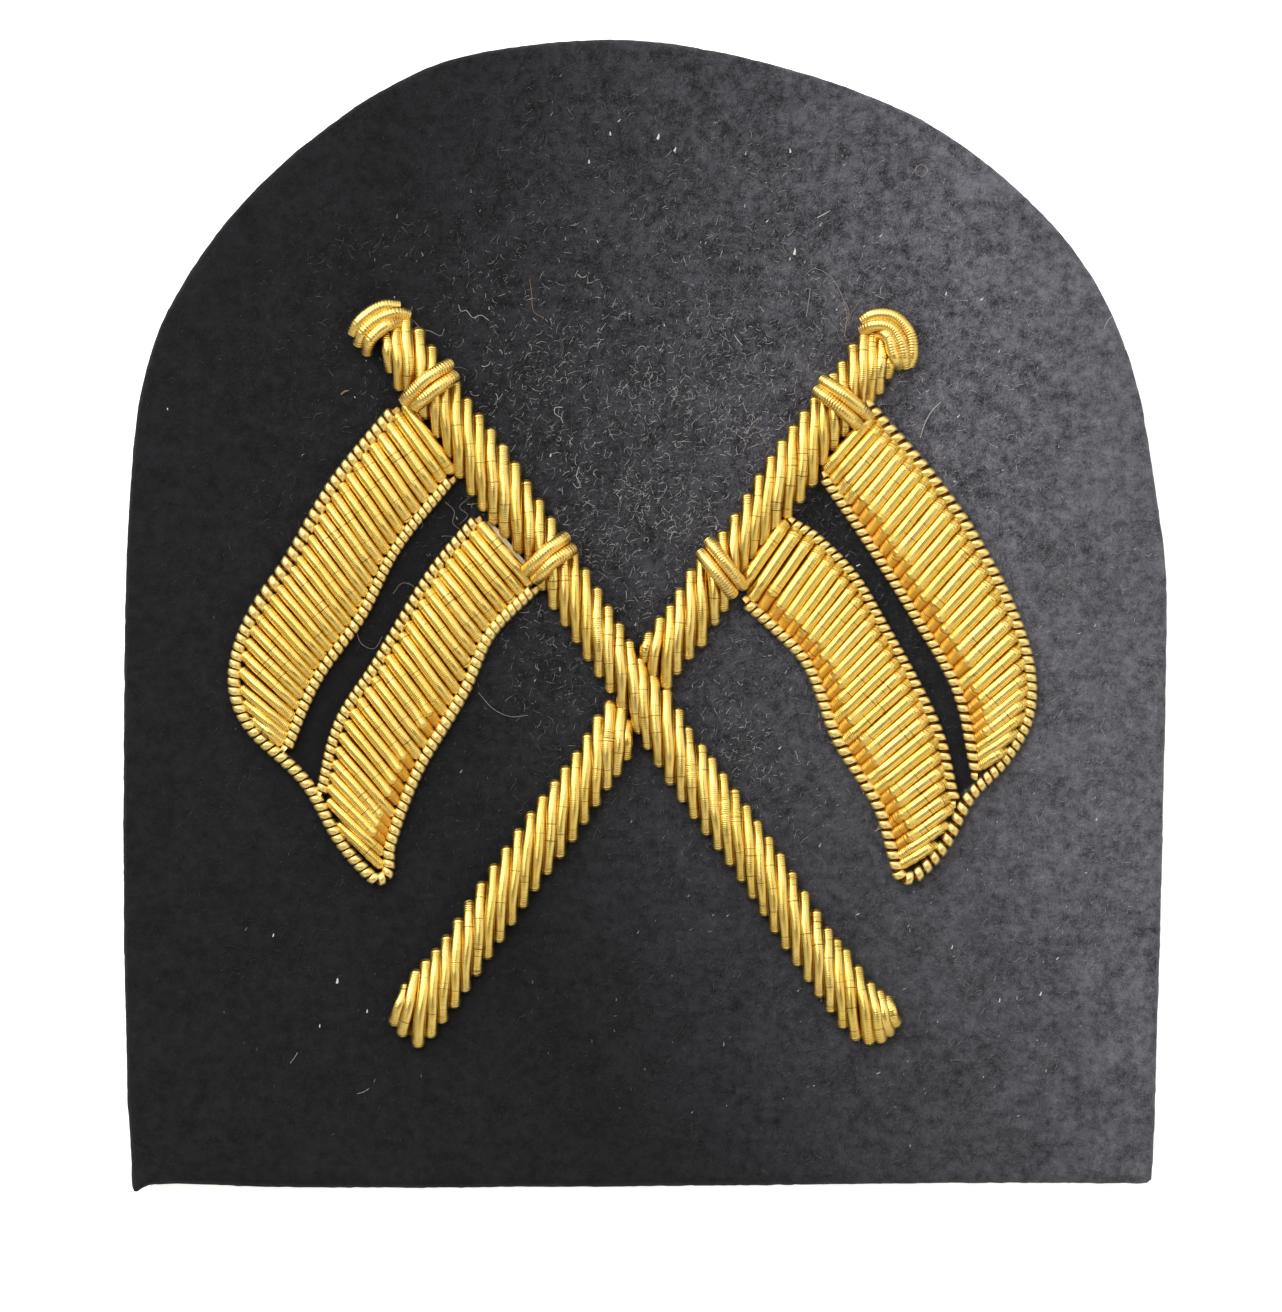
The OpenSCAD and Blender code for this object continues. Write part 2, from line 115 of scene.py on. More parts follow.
class Strand:
    """A value on its way through a node tree. Arithmetic on it adds the Math or Vector Math nodes."""

    def __init__(self, tree, socket=None):
        self.tree = tree
        self.socket = socket

    def add(self, kind, settings=None, inputs=None, out=0):
        """A node of a kind: its settings are set first, then the values or links of its sockets."""
        node = self.tree.nodes.new(kind)
        for name, value in (settings or {}).items():
            setattr(node, name, value)
        free = [s for s in node.inputs if s.enabled]
        given = inputs or {}
        if not isinstance(given, dict):
            given = dict(enumerate(given))
        for key, value in given.items():
            end = free[key] if isinstance(key, int) else next(s for s in free if s.name == key)
            if isinstance(value, Strand):
                self.tree.links.new(value.socket, end)
            else:
                end.default_value = value
        outs = [s for s in node.outputs if s.enabled]
        if not outs:
            return None
        found = outs[out] if isinstance(out, int) else next(s for s in outs if s.name == out)
        return Strand(self.tree, found)

    def sum(self, operation, *values):
        """Math on numbers, or Vector Math where one of the values is a vector or a colour."""
        sized = [
            v.socket.type in ("VECTOR", "RGBA") if isinstance(v, Strand) else isinstance(v, tuple)
            for v in values
        ]
        if not any(sized):
            return self.add("ShaderNodeMath", {"operation": operation}, list(values))
        spread = [(v, v, v) if isinstance(v, (int, float)) else v for v in values]
        return self.add("ShaderNodeVectorMath", {"operation": operation}, spread)

    def __add__(self, other):
        return self.sum("ADD", self, other)

    def __radd__(self, other):
        return self.sum("ADD", other, self)

    def __sub__(self, other):
        return self.sum("SUBTRACT", self, other)

    def __rsub__(self, other):
        return self.sum("SUBTRACT", other, self)

    def __mul__(self, other):
        return self.sum("MULTIPLY", self, other)

    def __rmul__(self, other):
        return self.sum("MULTIPLY", other, self)

    def __truediv__(self, other):
        return self.sum("DIVIDE", self, other)

    def __rtruediv__(self, other):
        return self.sum("DIVIDE", other, self)

    def __pow__(self, other):
        return self.sum("POWER", self, other)

    def apply(self, operation, *others):
        return self.sum(operation, self, *others)

    def clamped(self, low=0.0, high=1.0):
        return self.sum("MINIMUM", self.sum("MAXIMUM", self, low), high)

    def part(self, axis):
        """One axis of a position or vector."""
        return self.add("ShaderNodeSeparateXYZ", None, [self], axis)

    def tint(self, low, high):
        """The colour between two others at this share."""
        return self.add("ShaderNodeMix", {"data_type": "RGBA"}, {"Factor": self, "A": low, "B": high})

    def noise(self, size_mm, detail=2.0, roughness=0.5, stretch=(1, 1, 1)):
        """Noise over a position, with patches of about the size given; the stretch is along each axis."""
        spread = tuple(1 / s for s in stretch)
        return self.add(
            "ShaderNodeTexNoise", None,
            {"Vector": self * spread, "Scale": 1 / (size_mm * MM), "Detail": detail,
             "Roughness": roughness})

    def named(self, name, vector=False):
        """A value that the mesh carries on its points."""
        if self.tree.bl_idname == "ShaderNodeTree":
            out = "Vector" if vector else "Fac"
            return self.add("ShaderNodeAttribute", {"attribute_name": name}, out=out)
        kind = "FLOAT_VECTOR" if vector else "FLOAT"
        return self.add("GeometryNodeInputNamedAttribute", {"data_type": kind}, {"Name": name})

    def into(self, node, name):
        self.tree.links.new(self.socket, node.inputs[name])

    def bump(self, shader, strength, depth_mm):
        """Raises and sinks the surface by this value."""
        self.add("ShaderNodeBump", None, {
            "Strength": strength, "Distance": depth_mm * MM, "Height": self}).into(shader, "Normal")


def rgb(red, green, blue):
    """A colour given as the eye reads it, 0 to 255, as the shader needs it."""
    def linear(v):
        v = v / 255
        return v / 12.92 if v <= 0.04045 else ((v + 0.055) / 1.055) ** 2.4

    return (linear(red), linear(green), linear(blue), 1)


def new_material(name, **fixed):
    """A material, the position on its surface and its shader, with what is the same all over set there."""
    material = bpy.data.materials.new(name)
    material.use_nodes = True
    shader = material.node_tree.nodes["Principled BSDF"]
    for socket, value in fixed.items():
        shader.inputs[socket.replace("_", " ")].default_value = value
    return material, Strand(material.node_tree).add("ShaderNodeTexCoord", out="Object"), shader


def in_scene(name, data):
    """An object of a mesh, a light or a camera, put in the scene."""
    thing = bpy.data.objects.new(name, data)
    bpy.context.scene.collection.objects.link(thing)
    return thing


def new_piece(name, mesh, material):
    """A piece in the scene that rides on the badge's one body and takes its finish from a slot."""
    piece = in_scene(name, mesh)
    mesh.materials.append(material)
    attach(piece, "root")
    return piece


def felt_mesh():
    """Both faces on one grid of cells bent to the outline, joined round the soft cut edge."""
    closed = [OUTLINE[-1], *OUTLINE, OUTLINE[0], OUTLINE[1]]
    at = marks_along(closed)
    count = 4 * FACE_CELLS
    start, end = at[1], at[len(OUTLINE) + 1]
    rim = [row_at(closed, at, start + (end - start) * k / count) for k in range(count)]
    verts, faces = [], []
    side = FACE_CELLS + 1

    def on_rim(turn):
        """Row of the rim in the direction of a fraction of it."""
        place = turn * count
        k = int(place) % count
        f = place - int(place)
        return [p * (1 - f) + q * f for p, q in zip(rim[k], rim[(k + 1) % count])]

    def face(front):
        """One face of the felt; gives the loop of points round it."""
        first = len(verts)
        for j in range(side):
            for i in range(side):
                a = 2 * i / FACE_CELLS - 1
                b = 2 * j / FACE_CELLS - 1
                if a == 0 and b == 0:
                    share, turn = 0.0, 0.0
                elif abs(a) >= abs(b):
                    share, turn = abs(a), (b / a) / 8 + (0.5 if a < 0 else 0)
                else:
                    share, turn = abs(b), 0.25 - (a / b) / 8 + (0.5 if b < 0 else 0)
                row = on_rim(turn % 1.0)
                curl = row[2] * max(0.0, (share - CURL_FROM) / (1 - CURL_FROM)) ** 2
                share *= 1 - CUT_ROUNDING / HALF_WIDTH
                x, y = row[0] * share, row[1] * share
                z = max(0.0, curl - BACK_BEHIND)
                if front:
                    dents = unevenness(DENTS, x, y, 3.1)
                    z = FELT_THICK - FACE_BELOW + dents + unevenness(MATTING, x, y, 7.7) + curl
                verts.append((x, y, z))
        for j in range(FACE_CELLS):
            for i in range(FACE_CELLS):
                a = first + j * side + i
                quad = (a, a + 1, a + side + 1, a + side)
                faces.append(quad if front else quad[::-1])
        right = [first + (FACE_CELLS // 2 + k) * side + FACE_CELLS for k in range(FACE_CELLS // 2)]
        top = [first + FACE_CELLS * side + FACE_CELLS - k for k in range(FACE_CELLS)]
        left = [first + (FACE_CELLS - k) * side for k in range(FACE_CELLS)]
        foot = [first + k for k in range(FACE_CELLS)]
        low = [first + k * side + FACE_CELLS for k in range(FACE_CELLS // 2)]
        return right + top + left + foot + low

    rings = [face(True)]
    for inset, height in CUT_PROFILE:
        ring = []
        for x, y, lift in rim:
            ragged = unevenness(RAGGED_CUT, x, y, height * 4) + unevenness(WAVY_CUT, x, y, 1.5)
            share = 1 - (inset * CUT_ROUNDING + ragged) / HALF_WIDTH
            ring.append(len(verts))
            verts.append((x * share, y * share, max(0.02, FELT_THICK * height + lift)))
        rings.append(ring)
    rings.append(face(False))
    for upper, lower in zip(rings, rings[1:]):
        for k in range(count):
            n = (k + 1) % count
            faces.append((upper[k], lower[k], lower[n], upper[n]))
    mesh = bpy.data.meshes.new("felt_patch_cloth")
    mesh.from_pydata([Vector(v) * MM for v in verts], [], faces)
    mesh.polygons.foreach_set("use_smooth", [True] * len(faces))
    area = sum(p[0] * q[1] - q[0] * p[1] for p, q in zip(rim, rim[1:] + rim[:1])) / 2
    return mesh, area * MM * MM


# Wool is dull with a faint sheen; its colour is dark ground, lighter matting and strands, and a painted
# sheen that lightens it towards the right.
# The strands are combed by this turn, and rubbed up round this place, so far out.
COMBED_TURN = -0.75
RUBBED_AT = (1, 16)
RUBBED_REACH = 30
felt_wool, spot, shader = new_material(
    "dark_wool_felt", Roughness=0.9, Specular_IOR_Level=0.2, Sheen_Weight=0.06, Sheen_Roughness=0.5,
    Sheen_Tint=rgb(205, 203, 215))
clumps = spot.noise(2.4, 4, 0.6)
matting = spot.noise(0.8, 5, 0.65)
# Fine strands of wool, combed one way
swirl = spot + spot.noise(1.4, 2) * (1.1 * MM)
combed = spot.add(
    "ShaderNodeVectorRotate", {"rotation_type": "Z_AXIS"}, {"Vector": swirl, "Angle": COMBED_TURN})
strands = combed.noise(0.1, 3, 0.6, (0.22, 1, 1)) * 0.65 + swirl.noise(0.15, 2, 0.6) * 0.35
flecks = ((strands - 0.56) * 7).clamped()
# Painted shade: small dark pits in the felt's colour stand for its shaded recesses
pit_shade = ((spot.noise(0.45, 2, 0.5) - 0.6) * 9).clamped()
across = spot.part("X")
upward = spot.part("Y")
# Between a flag's two stripes the felt is painted darker and loses its painted sheen, as painted shade;
# above the crossing it is rubbed up
shaded_between_stripes = spot.named("shaded_between_stripes")
rubbed_place = tuple(v * MM for v in (*RUBBED_AT, FELT_THICK))
from_rubbed = spot.add("ShaderNodeVectorMath", {"operation": "DISTANCE"}, [spot, rubbed_place], "Value")
raised = (1.15 - from_rubbed / (RUBBED_REACH * MM)).clamped()
# The painted sheen: light painted into the felt's colour, growing towards the right and the upper right
leaning = across + upward * SHEEN_LEAN - upward * upward * (SHEEN_BEND / MM)
painted_sheen = (leaning / (SHEEN_AND_DUST_WIDTH * MM) + SHEEN_MIDDLE).clamped() ** SHEEN_POWER
painted_sheen = (painted_sheen * (0.9 + clumps * 0.2) * (1 - shaded_between_stripes * 0.85)).clamped()
uneven = (matting - 0.5) * 1.8 + (clumps - 0.5) * 0.9 + (strands - 0.5) * (2.4 + raised * 2.2)
dark = painted_sheen.tint(rgb(13, 13, 16), rgb(42, 42, 49))
light = painted_sheen.tint(rgb(36, 37, 42), rgb(123, 124, 136))
pit_shade_colour = painted_sheen.tint(rgb(12, 12, 14), rgb(52, 51, 57))
on_flecks = painted_sheen.tint(rgb(46, 46, 53), rgb(144, 143, 155))
ground = (uneven * (0.9 + raised * 0.9) + 0.5).clamped().tint(dark, light)
ground = (pit_shade * (0.2 + raised * 0.3)).tint(ground, pit_shade_colour)
# Painted shade: the felt between a flag's two stripes is darkened
ground = (shaded_between_stripes * 0.5).tint(ground, rgb(16, 15, 17))
(flecks * (0.7 + raised * 0.2)).tint(ground, on_flecks).into(shader, "Base Color")
(strands * 0.8 + matting * 0.5).bump(shader, 0.6, 0.2)
cloth, felt_area = felt_mesh()
felt = new_piece("felt_patch_cloth", cloth, felt_wool)
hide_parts("felt_patch")

# The padded staffs and flag stripes: cut lengths of smooth purl, a hollow tube of finely coiled gilt wire,
# sewn side by side over a yellow padding. Each length bows from one cut end over the padding to the other.
SEWN_Z = 1.66
STAFF_RISE = 1.8
STRIPE_RISE = 1.35
# How far a tube's top stands over the felt at its tips, and how long its rounded cut or broken tip is
TIP_HEIGHT = 0.8
CUT_TIP = 0.13
BROKEN_TIP = 0.07
# How far a cut or broken tip is pulled down, and how far from its end a tube starts to widen
CUT_DIP = 0.06
BROKEN_DIP = 0.03
FLARE_LENGTH = 1.4
# The coil's wide and fine rings along a tube
COIL_PITCH = 0.13
WIRE_PITCH = 0.065
TUBE_RINGS = 36
TUBE_SIDES = 12
# Least and most width of a tube in its row, and how much its girth, its place and its height vary
TUBE_SPACING = (0.8, 0.98)
GIRTH_SPREAD = (0.975, 1.025)
ASIDE_SPREAD = (-0.025, 0.025)
LIE_SPREAD = (-0.03, 0.03)
# Number of the tube, and x, y of its end
OVER_TOPS = [
    (0, -19.5, 21.4), (1, -18.75, 22), (2, -18, 22.3), (3, -16.95, 21.3), (7, -13.35, 16.1),
    (10, -10.7, 12.6), (14, -7.1, 7.15), (16, -5.4, 4.7), (18, -3.6, 1.9), (22, -0.4, -3.35),
    (24, 1.58, -5.72), (25, 2.48, -7.16), (26, 3.2, -8.54), (27, 4.22, -9.86), (28, 4.94, -10.8),
    (30, 6.68, -13.2), (34, 10.1, -18), (38, 13.65, -23.6), (40, 15, -25.2), (42, 16.85, -27.7),
    (44, 18.15, -28.7),
]
OVER_FEET = [
    (0, -19.05, 18.5), (1, -18.4, 17.2), (2, -17.6, 16.4), (3, -16.5, 15.05), (7, -12.95, 9.3),
    (10, -10.4, 6.2), (12, -8.45, 3.7), (14, -6.8, 0.8), (16, -5.05, -1.75), (18, -3.4, -4.3),
    (19, -2.55, -5.45), (20, -1.65, -6.85), (21, -0.5, -8.5), (22, 0.2, -9.7), (26, 3.7, -14.9),
    (30, 7.3, -19.6), (34, 10.6, -24.7), (38, 13.95, -29.4), (40, 15.8, -31.5), (42, 17.7, -31.7),
    (44, 18.8, -30.5),
]
UPPER_TOPS = [
    (0, 18.35, 19.7), (1, 17.8, 20.7), (3, 16.45, 21.2), (5, 14.8, 18.85), (7, 13.5, 17.1),
    (8, 12.75, 16.2), (12, 9.5, 11.75), (14, 7.7, 8.9), (16, 5.85, 6.1), (19, 3.5, 3.2),
    (20, 2.66, 1.78), (21, 1.94, 0.58), (22, 1.16, -0.34), (23, 0.32, -1.46),
]
UPPER_FEET = [
    (0, 18.15, 18.1), (1, 17.5, 16.9), (3, 16.15, 15.7), (5, 14.95, 13.7), (7, 13.3, 11.6),
    (8, 12.5, 10), (12, 8.8, 5.4), (14, 7.3, 3.4), (16, 5.84, 0.64), (17, 5.18, -0.38), (18, 4.2, -2),
    (19, 3.26, -2.96), (20, 2.36, -4.1), (21, 1.58, -5.24), (22, 0.56, -4.4), (23, -0.04, -3.2),
]
LOWER_TOPS = [
    (0, -1.35, -8), (1, -1.7, -7.05), (2, -2.65, -6.6), (5, -5.1, -10.4), (8, -7.6, -13.7),
    (12, -11.3, -18.85), (16, -14.85, -24.2), (18, -16.35, -26.05), (19, -17.1, -26.8),
    (20, -17.9, -27.8),
]
LOWER_FEET = [
    (0, -1.4, -10.5), (1, -2.2, -11.7), (2, -2.9, -12.7), (5, -5.5, -16.6), (8, -8.3, -20.3),
    (12, -11.8, -25.4), (16, -15.2, -30.2), (18, -17, -32), (19, -18.2, -31.2), (20, -18.8, -30.4),
]
LEFT_OUTER_TOPS = [
    (0, -17.6, 15.27), (8, -22.55, 9.56), (18, -27.3, 2.03), (24, -29.9, -2.99), (26, -30.1, -5.5),
    (28, -29.4, -7.6),
]
LEFT_OUTER_FEET = [
    (0, -14.8, 11.32), (8, -19.4, 4.94), (18, -23.65, -2.38), (24, -26.1, -6.7), (26, -26.7, -8.41),
    (28, -27.15, -9.51),
]
LEFT_INNER_TOPS = [
    (0, -12.2, 6.75), (12, -18.6, -2.38), (21, -22.9, -10.11), (24, -23.5, -12.92), (26, -22.8, -15.72),
]
LEFT_INNER_FEET = [
    (0, -8.9, 2.79), (12, -15.15, -7.1), (21, -19.15, -14.52), (24, -19.85, -16.62), (26, -20.1, -18.32),
]
RIGHT_OUTER_TOPS = [
    (0, 16.7, 14.62), (6, 20.6, 11.02), (16, 25.9, 2.67), (22, 28.2, -3.56), (26, 28.2, -7.48),
    (28, 27.3, -9.79),
]
RIGHT_OUTER_FEET = [
    (0, 13.75, 11.22), (6, 16.9, 6.49), (16, 21.8, -1.75), (22, 24.2, -7.07), (26, 24.95, -9.89),
    (28, 25.4, -10.99),
]
RIGHT_INNER_TOPS = [
    (0, 10.3, 6.69), (4, 13.6, 3.98), (14, 18.5, -3.66), (21, 21.3, -9.79), (26, 22.6, -14.6),
    (28, 21.2, -17.4),
]
RIGHT_INNER_FEET = [
    (0, 7.6, 2.72), (4, 10.3, -0.54), (14, 14.4, -7.58), (21, 17.2, -13.1), (26, 18.85, -17.2),
    (28, 19.4, -18.5),
]
# Routes of the beaded wire that the stripes are cut to fit between: x, y
LEFT_BORDER = [
    (-18.75, 15.57), (-23.3, 9.96), (-26.5, 4.44), (-29.9, -0.88), (-30.8, -4.89), (-29.7, -8.1),
    (-25.5, -12.32), (-22.9, -16.72), (-20.8, -19.22), (-20, -19.72), (-19.3, -19.22), (-19.1, -17.12),
    (-17.1, -11.72), (-13.5, -5.5), (-11.6, -1.28), (-8.3, 2.13),
]
LEFT_OUTER_EDGE = [(-14.5, 10.36), (-18.5, 5.35), (-21.3, 0.03), (-24.6, -4.69), (-26.9, -10.01)]
LEFT_INNER_EDGE = [(-12.55, 7.4), (-15.9, 3.34), (-20, -3.39), (-23, -8.21), (-24.3, -13.42)]
RIGHT_BORDER = [
    (16.65, 15.9), (22.4, 9.21), (26.3, 2.88), (28.6, -2.85), (28.8, -7.17), (27.1, -10.59), (24.3, -13.6),
    (22.5, -17), (20.9, -18.9), (19.9, -19.6), (19.1, -19.4), (18.7, -18.2), (17.5, -14.2),
    (14.5, -9.29), (12.2, -3.56), (9.4, -0.54), (7.4, 1.17),
]
RIGHT_OUTER_EDGE = [(13.3, 10.61), (16.5, 5.99), (20.4, -0.14), (23.4, -5.47), (24.9, -12)]
RIGHT_INNER_EDGE = [
    (10.85, 7.13), (12.8, 5.9), (15.7, 2.9), (18, -1), (20.16, -4.9), (22.1, -9.15), (22.97, -13),
    (23.26, -14.1),
]
# How far the tubes of a stripe may be drawn out to meet the wires, from what share of their reach and in
# what steps that is tried
TO_BEADS = 0.5
DRAWN_FROM = 0.4
DRAWN_STEP = 0.03
WIRE_STEP = 0.2
# Where a length has split across, in a dark ring: x, y. A split belongs to a tube that passes this near,
# this far from its ends, and its two tips stand this far from it.
SPLITS = [
    (-10.5, 11.9), (-10.5, 11), (-3.5, -1), (-2.7, -9.2), (3.4, -11.6), (5.5, -13.9), (6.3, -13.9),
    (6.2, -14.8), (7.2, -14.8),
]
SPLIT_NEAR = 0.42
SPLIT_MARGIN = 0.4
SPLIT_GAP = 0.02
# How far the broken off end of a kinked tube has fallen at its break, and sinks on its way to the tip
KINK_FALLEN = 0.16
KINK_SINK = 0.1


def new_tree(name, counts, sizes):
    """A node tree with a mesh in and out, a material, and named inputs for its counts and sizes."""
    tree = bpy.data.node_groups.new(name, "GeometryNodeTree")
    kinds = [("Geometry", "Geometry"), *((c, "Int") for c in counts), *((s, "Float") for s in sizes)]
    for socket, kind in [*kinds, ("Material", "Material")]:
        tree.interface.new_socket(socket, in_out="INPUT", socket_type="NodeSocket" + kind)
    tree.interface.new_socket("Geometry", in_out="OUTPUT", socket_type="NodeSocketGeometry")
    return tree, Strand(tree)


def given(loom, name):
    """An input of the tree."""
    return loom.add("NodeGroupInput", out=name)


def kept(geometry, name, value, vector=False):
    """The geometry with a value stored on its points."""
    kind = "FLOAT_VECTOR" if vector else "FLOAT"
    return geometry.add(
        "GeometryNodeStoreNamedAttribute", {"data_type": kind, "domain": "POINT"},
        {"Geometry": geometry, "Name": name, "Value": value})


def section(loom):
    """The round section of a wire, of radius 1."""
    return loom.add(
        "GeometryNodeCurvePrimitiveCircle", None, {"Resolution": given(loom, "Sides"), "Radius": 1.0})


def ends_in_mesh(loom, curve, profile, width, smooth=True):
    """Sweeps the section along the curves, as wide as their points say, and ends the tree."""
    mesh = loom.add(
        "GeometryNodeCurveToMesh", None,
        {"Curve": curve, "Profile Curve": profile, "Scale": loom.named(width), "Fill Caps": True})
    if smooth:
        mesh = loom.add("GeometryNodeSetShadeSmooth", None, {"Geometry": mesh, "Shade Smooth": True})
    mesh = loom.add("GeometryNodeRealizeInstances", None, [mesh])
    mesh = loom.add(
        "GeometryNodeSetMaterial", None, {"Geometry": mesh, "Material": given(loom, "Material")})
    loom.add("NodeGroupOutput", None, [mesh])


def worked(name, mesh, tree, sizes):
    """Runs a tree on a mesh, its inputs set by identifier, and keeps the plain mesh as a piece."""
    piece = in_scene(name, mesh)
    modifier = piece.modifiers.new("work", "NODES")
    modifier.node_group = tree
    for item in tree.interface.items_tree:
        if item.in_out == "INPUT" and item.name in sizes:
            modifier[item.identifier] = sizes[item.name]
    view = bpy.context.evaluated_depsgraph_get()
    plain = bpy.data.meshes.new_from_object(
        piece.evaluated_get(view), preserve_all_data_layers=True, depsgraph=view)
    piece.modifiers.clear()
    piece.data = plain
    plain.name = name
    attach(piece, "root")
    return piece


def with_values(name, verts, edges, values):
    """A mesh of loose edges that carries named values on its points."""
    mesh = bpy.data.meshes.new(name)
    mesh.from_pydata(verts, edges, [])
    for key, column in values.items():
        flat = isinstance(column[0], (int, float))
        layer = mesh.attributes.new(key, "FLOAT" if flat else "FLOAT_VECTOR", "POINT")
        data = column if flat else [v for row in column for v in row]
        layer.data.foreach_set("value" if flat else "vector", data)
    return mesh


def smooth_line(points, step):
    """The curve through a route's points, with a point at every step of its length."""
    at = marks_along(points)
    count = max(2, round(at[-1] / step))
    return [row_at(points, at, at[-1] * k / count) for k in range(count + 1)]


def numbered(table, count):
    """The ends of all the tubes of a field, from a table of some of them."""
    number = [row[0] for row in table]
    return [Vector(row_at([row[1:] for row in table], number, k)) for k in range(count)]


def to_wires(end, other, borders, beside):
    """A tube's end, where the tube drawn out from its middle first comes up to a border wire."""
    middle = (end + other) / 2
    ahead = (end - middle).normalized()
    furthest = (end - middle).length + TO_BEADS
    reach = DRAWN_FROM * furthest
    while reach < furthest:
        spot_on = middle + ahead * reach
        if min((spot_on - Vector(p)).length for line in borders for p in line) < beside:
            break
        reach += DRAWN_STEP
    return middle + ahead * reach


def tube_tree():
    """Makes a tube of every edge of a mesh: bowed between its ends, closed and rounded at both tips."""
    tree, loom = new_tree(
        "purl_lengths", ["Rings", "Sides"], ["Rise", "Crown", "Tip Height", "Sewn Height", "Flare"])
    named = loom.named
    own = named("own")
    run = named("run", True)
    length = loom.add("ShaderNodeVectorMath", {"operation": "LENGTH"}, [run], "Value")
    eased = (1 - (own * math.pi).apply("COSINE")) * 0.5
    across = named("low") + (named("high") - named("low")) * eased
    # Over the flat middle of the padding the tube has a slight crown, and it slopes down at both ends
    whole = length / (named("high") - named("low"))
    crease = named("crease")
    slope_a = (whole * across / named("ramp_a")).apply("SMOOTH_MIN", 1.0, crease)
    slope_b = (whole * (1 - across) / named("ramp_b")).apply("SMOOTH_MIN", 1.0, crease)
    bow = slope_a.apply("SMOOTH_MIN", slope_b, crease) * (1 - given(loom, "Crown"))
    bow = bow + (1 - (across * 2 - 1) ** 2.0) * given(loom, "Crown")
    from_a = length * eased
    from_b = length * (1 - eased)
    blunt_a = 1 - (from_a / named("tip_a")).clamped()
    blunt_b = 1 - (from_b / named("tip_b")).clamped()
    girth = named("girth")
    nearest = from_a.apply("MINIMUM", from_b)
    cut_wide = (1 - (nearest / (FLARE_LENGTH * MM)).clamped()) ** 2 * given(loom, "Flare") + 1
    width = (1 - blunt_a * blunt_a * 0.15 - blunt_b * blunt_b * 0.3).apply("SQRT") * girth * cut_wide
    height = given(loom, "Sewn Height") + given(loom, "Tip Height") - girth
    height = height + (given(loom, "Rise") - given(loom, "Tip Height")) * bow + named("lie")
    height = height - (blunt_a ** 2) * named("dip_a") - (blunt_b ** 2) * named("dip_b")
    height = height - named("sink") * eased
    aside = loom.add("ShaderNodeVectorMath", {"operation": "CROSS_PRODUCT"}, [run, (0, 0, 1)])
    swayed = (across * (2 * math.pi) + named("sway_at")).apply("SINE") * named("sway")
    swayed = swayed * (across * math.pi).apply("SINE")
    shift = run * (eased - own) + aside / length * swayed
    shift = shift + loom.add("ShaderNodeCombineXYZ", None, {"Z": height})
    curve = loom.add("GeometryNodeMeshToCurve", None, [given(loom, "Geometry")])
    curve = loom.add("GeometryNodeResampleCurve", None, {"Curve": curve, "Count": given(loom, "Rings")})
    for name, value in (("width", width), ("from_a", from_a / MM), ("from_b", from_b / MM)):
        curve = kept(curve, name, value)
    curve = kept(curve, "shift", shift, True)
    curve = loom.add("GeometryNodeSetPosition", None, {"Geometry": curve, "Offset": named("shift", True)})
    curve = loom.add("GeometryNodeSetCurveNormal", {"mode": "Z_UP"}, {"Curve": curve})
    profile = kept(section(loom), "round", loom.add("GeometryNodeInputPosition"), True)
    ends_in_mesh(loom, curve, profile, "width")
    return tree


# Gilt purl: the coil's rings as bump along the tube, with lots and wear; painted shade in the grooves
# between tubes, in the coil's creases and opened rings and on the fallen ends of kinked tubes
purl_gold, spot, shader = new_material("smooth_purl_gold", Metallic=1.0)
around = spot.named("round", True).part("X")
upward = 0 - spot.named("round", True).part("Y")
turn = upward.apply("ARCTAN2", around) / (2 * math.pi)
along = spot.named("from_a")
nearest = along.apply("MINIMUM", spot.named("from_b"))
wavering = (spot.noise(2.5, 2) - 0.5) * 1.2
rings = ((along / COIL_PITCH + turn + wavering) * (2 * math.pi)).apply("COSINE") * 0.5 + 0.5
rings = rings ** 0.5
open_coil = ((spot.noise(1.8, 2) - 0.52) * 6).clamped()
near_tip = (1 - nearest / 1.1).clamped()
fallen_end_shade = spot.named("fallen_end_shade")
show = (0.1 + open_coil * 0.2 + near_tip * 0.5 + fallen_end_shade * 0.4).clamped()
smudge = spot.noise(0.8, 3, 0.6)
lot = spot.named("lot")
colour = (lot * 0.55 + smudge * 0.6 - 0.1).clamped().tint(rgb(241, 207, 104), rgb(251, 222, 136))
# Painted shade: the fallen end of a kinked tube is painted a darker orange gold
colour = fallen_end_shade.tint(colour, rgb(242, 192, 84))
# Painted shade: a tube's sides turn deep gold where they slope down between two tubes, less near its tips
closed_in = (nearest / 1.3).clamped() * 0.75 + 0.25
groove_shade = ((spot.named("groove") - upward) * 2.2).clamped() * closed_in
colour = groove_shade.tint(colour, rgb(158, 116, 18))
# Painted shade: dark lines in the coil's creases where its rings show, and at rings opened at random
crease = ((0.3 - rings) * 3).clamped() * show
opened = spot.add("ShaderNodeTexNoise", {"noise_dimensions": "1D"}, {
    "W": along * 1.4 + lot * 97, "Scale": 4.0, "Detail": 1.0})
opened = ((opened - 0.72) * 16).clamped() * 0.7
(crease * 0.65).apply("MAXIMUM", opened).tint(colour, rgb(120, 66, 14)).into(shader, "Base Color")
(0.12 + smudge * 0.12 + fallen_end_shade * 0.16 + near_tip * 0.14).into(shader, "Roughness")
fine_rings = ((along / WIRE_PITCH + turn) * (2 * math.pi)).apply("COSINE")
(rings * show + fine_rings * 0.05 + spot.noise(0.14, 2) * 0.1).bump(shader, 0.8, 0.05)

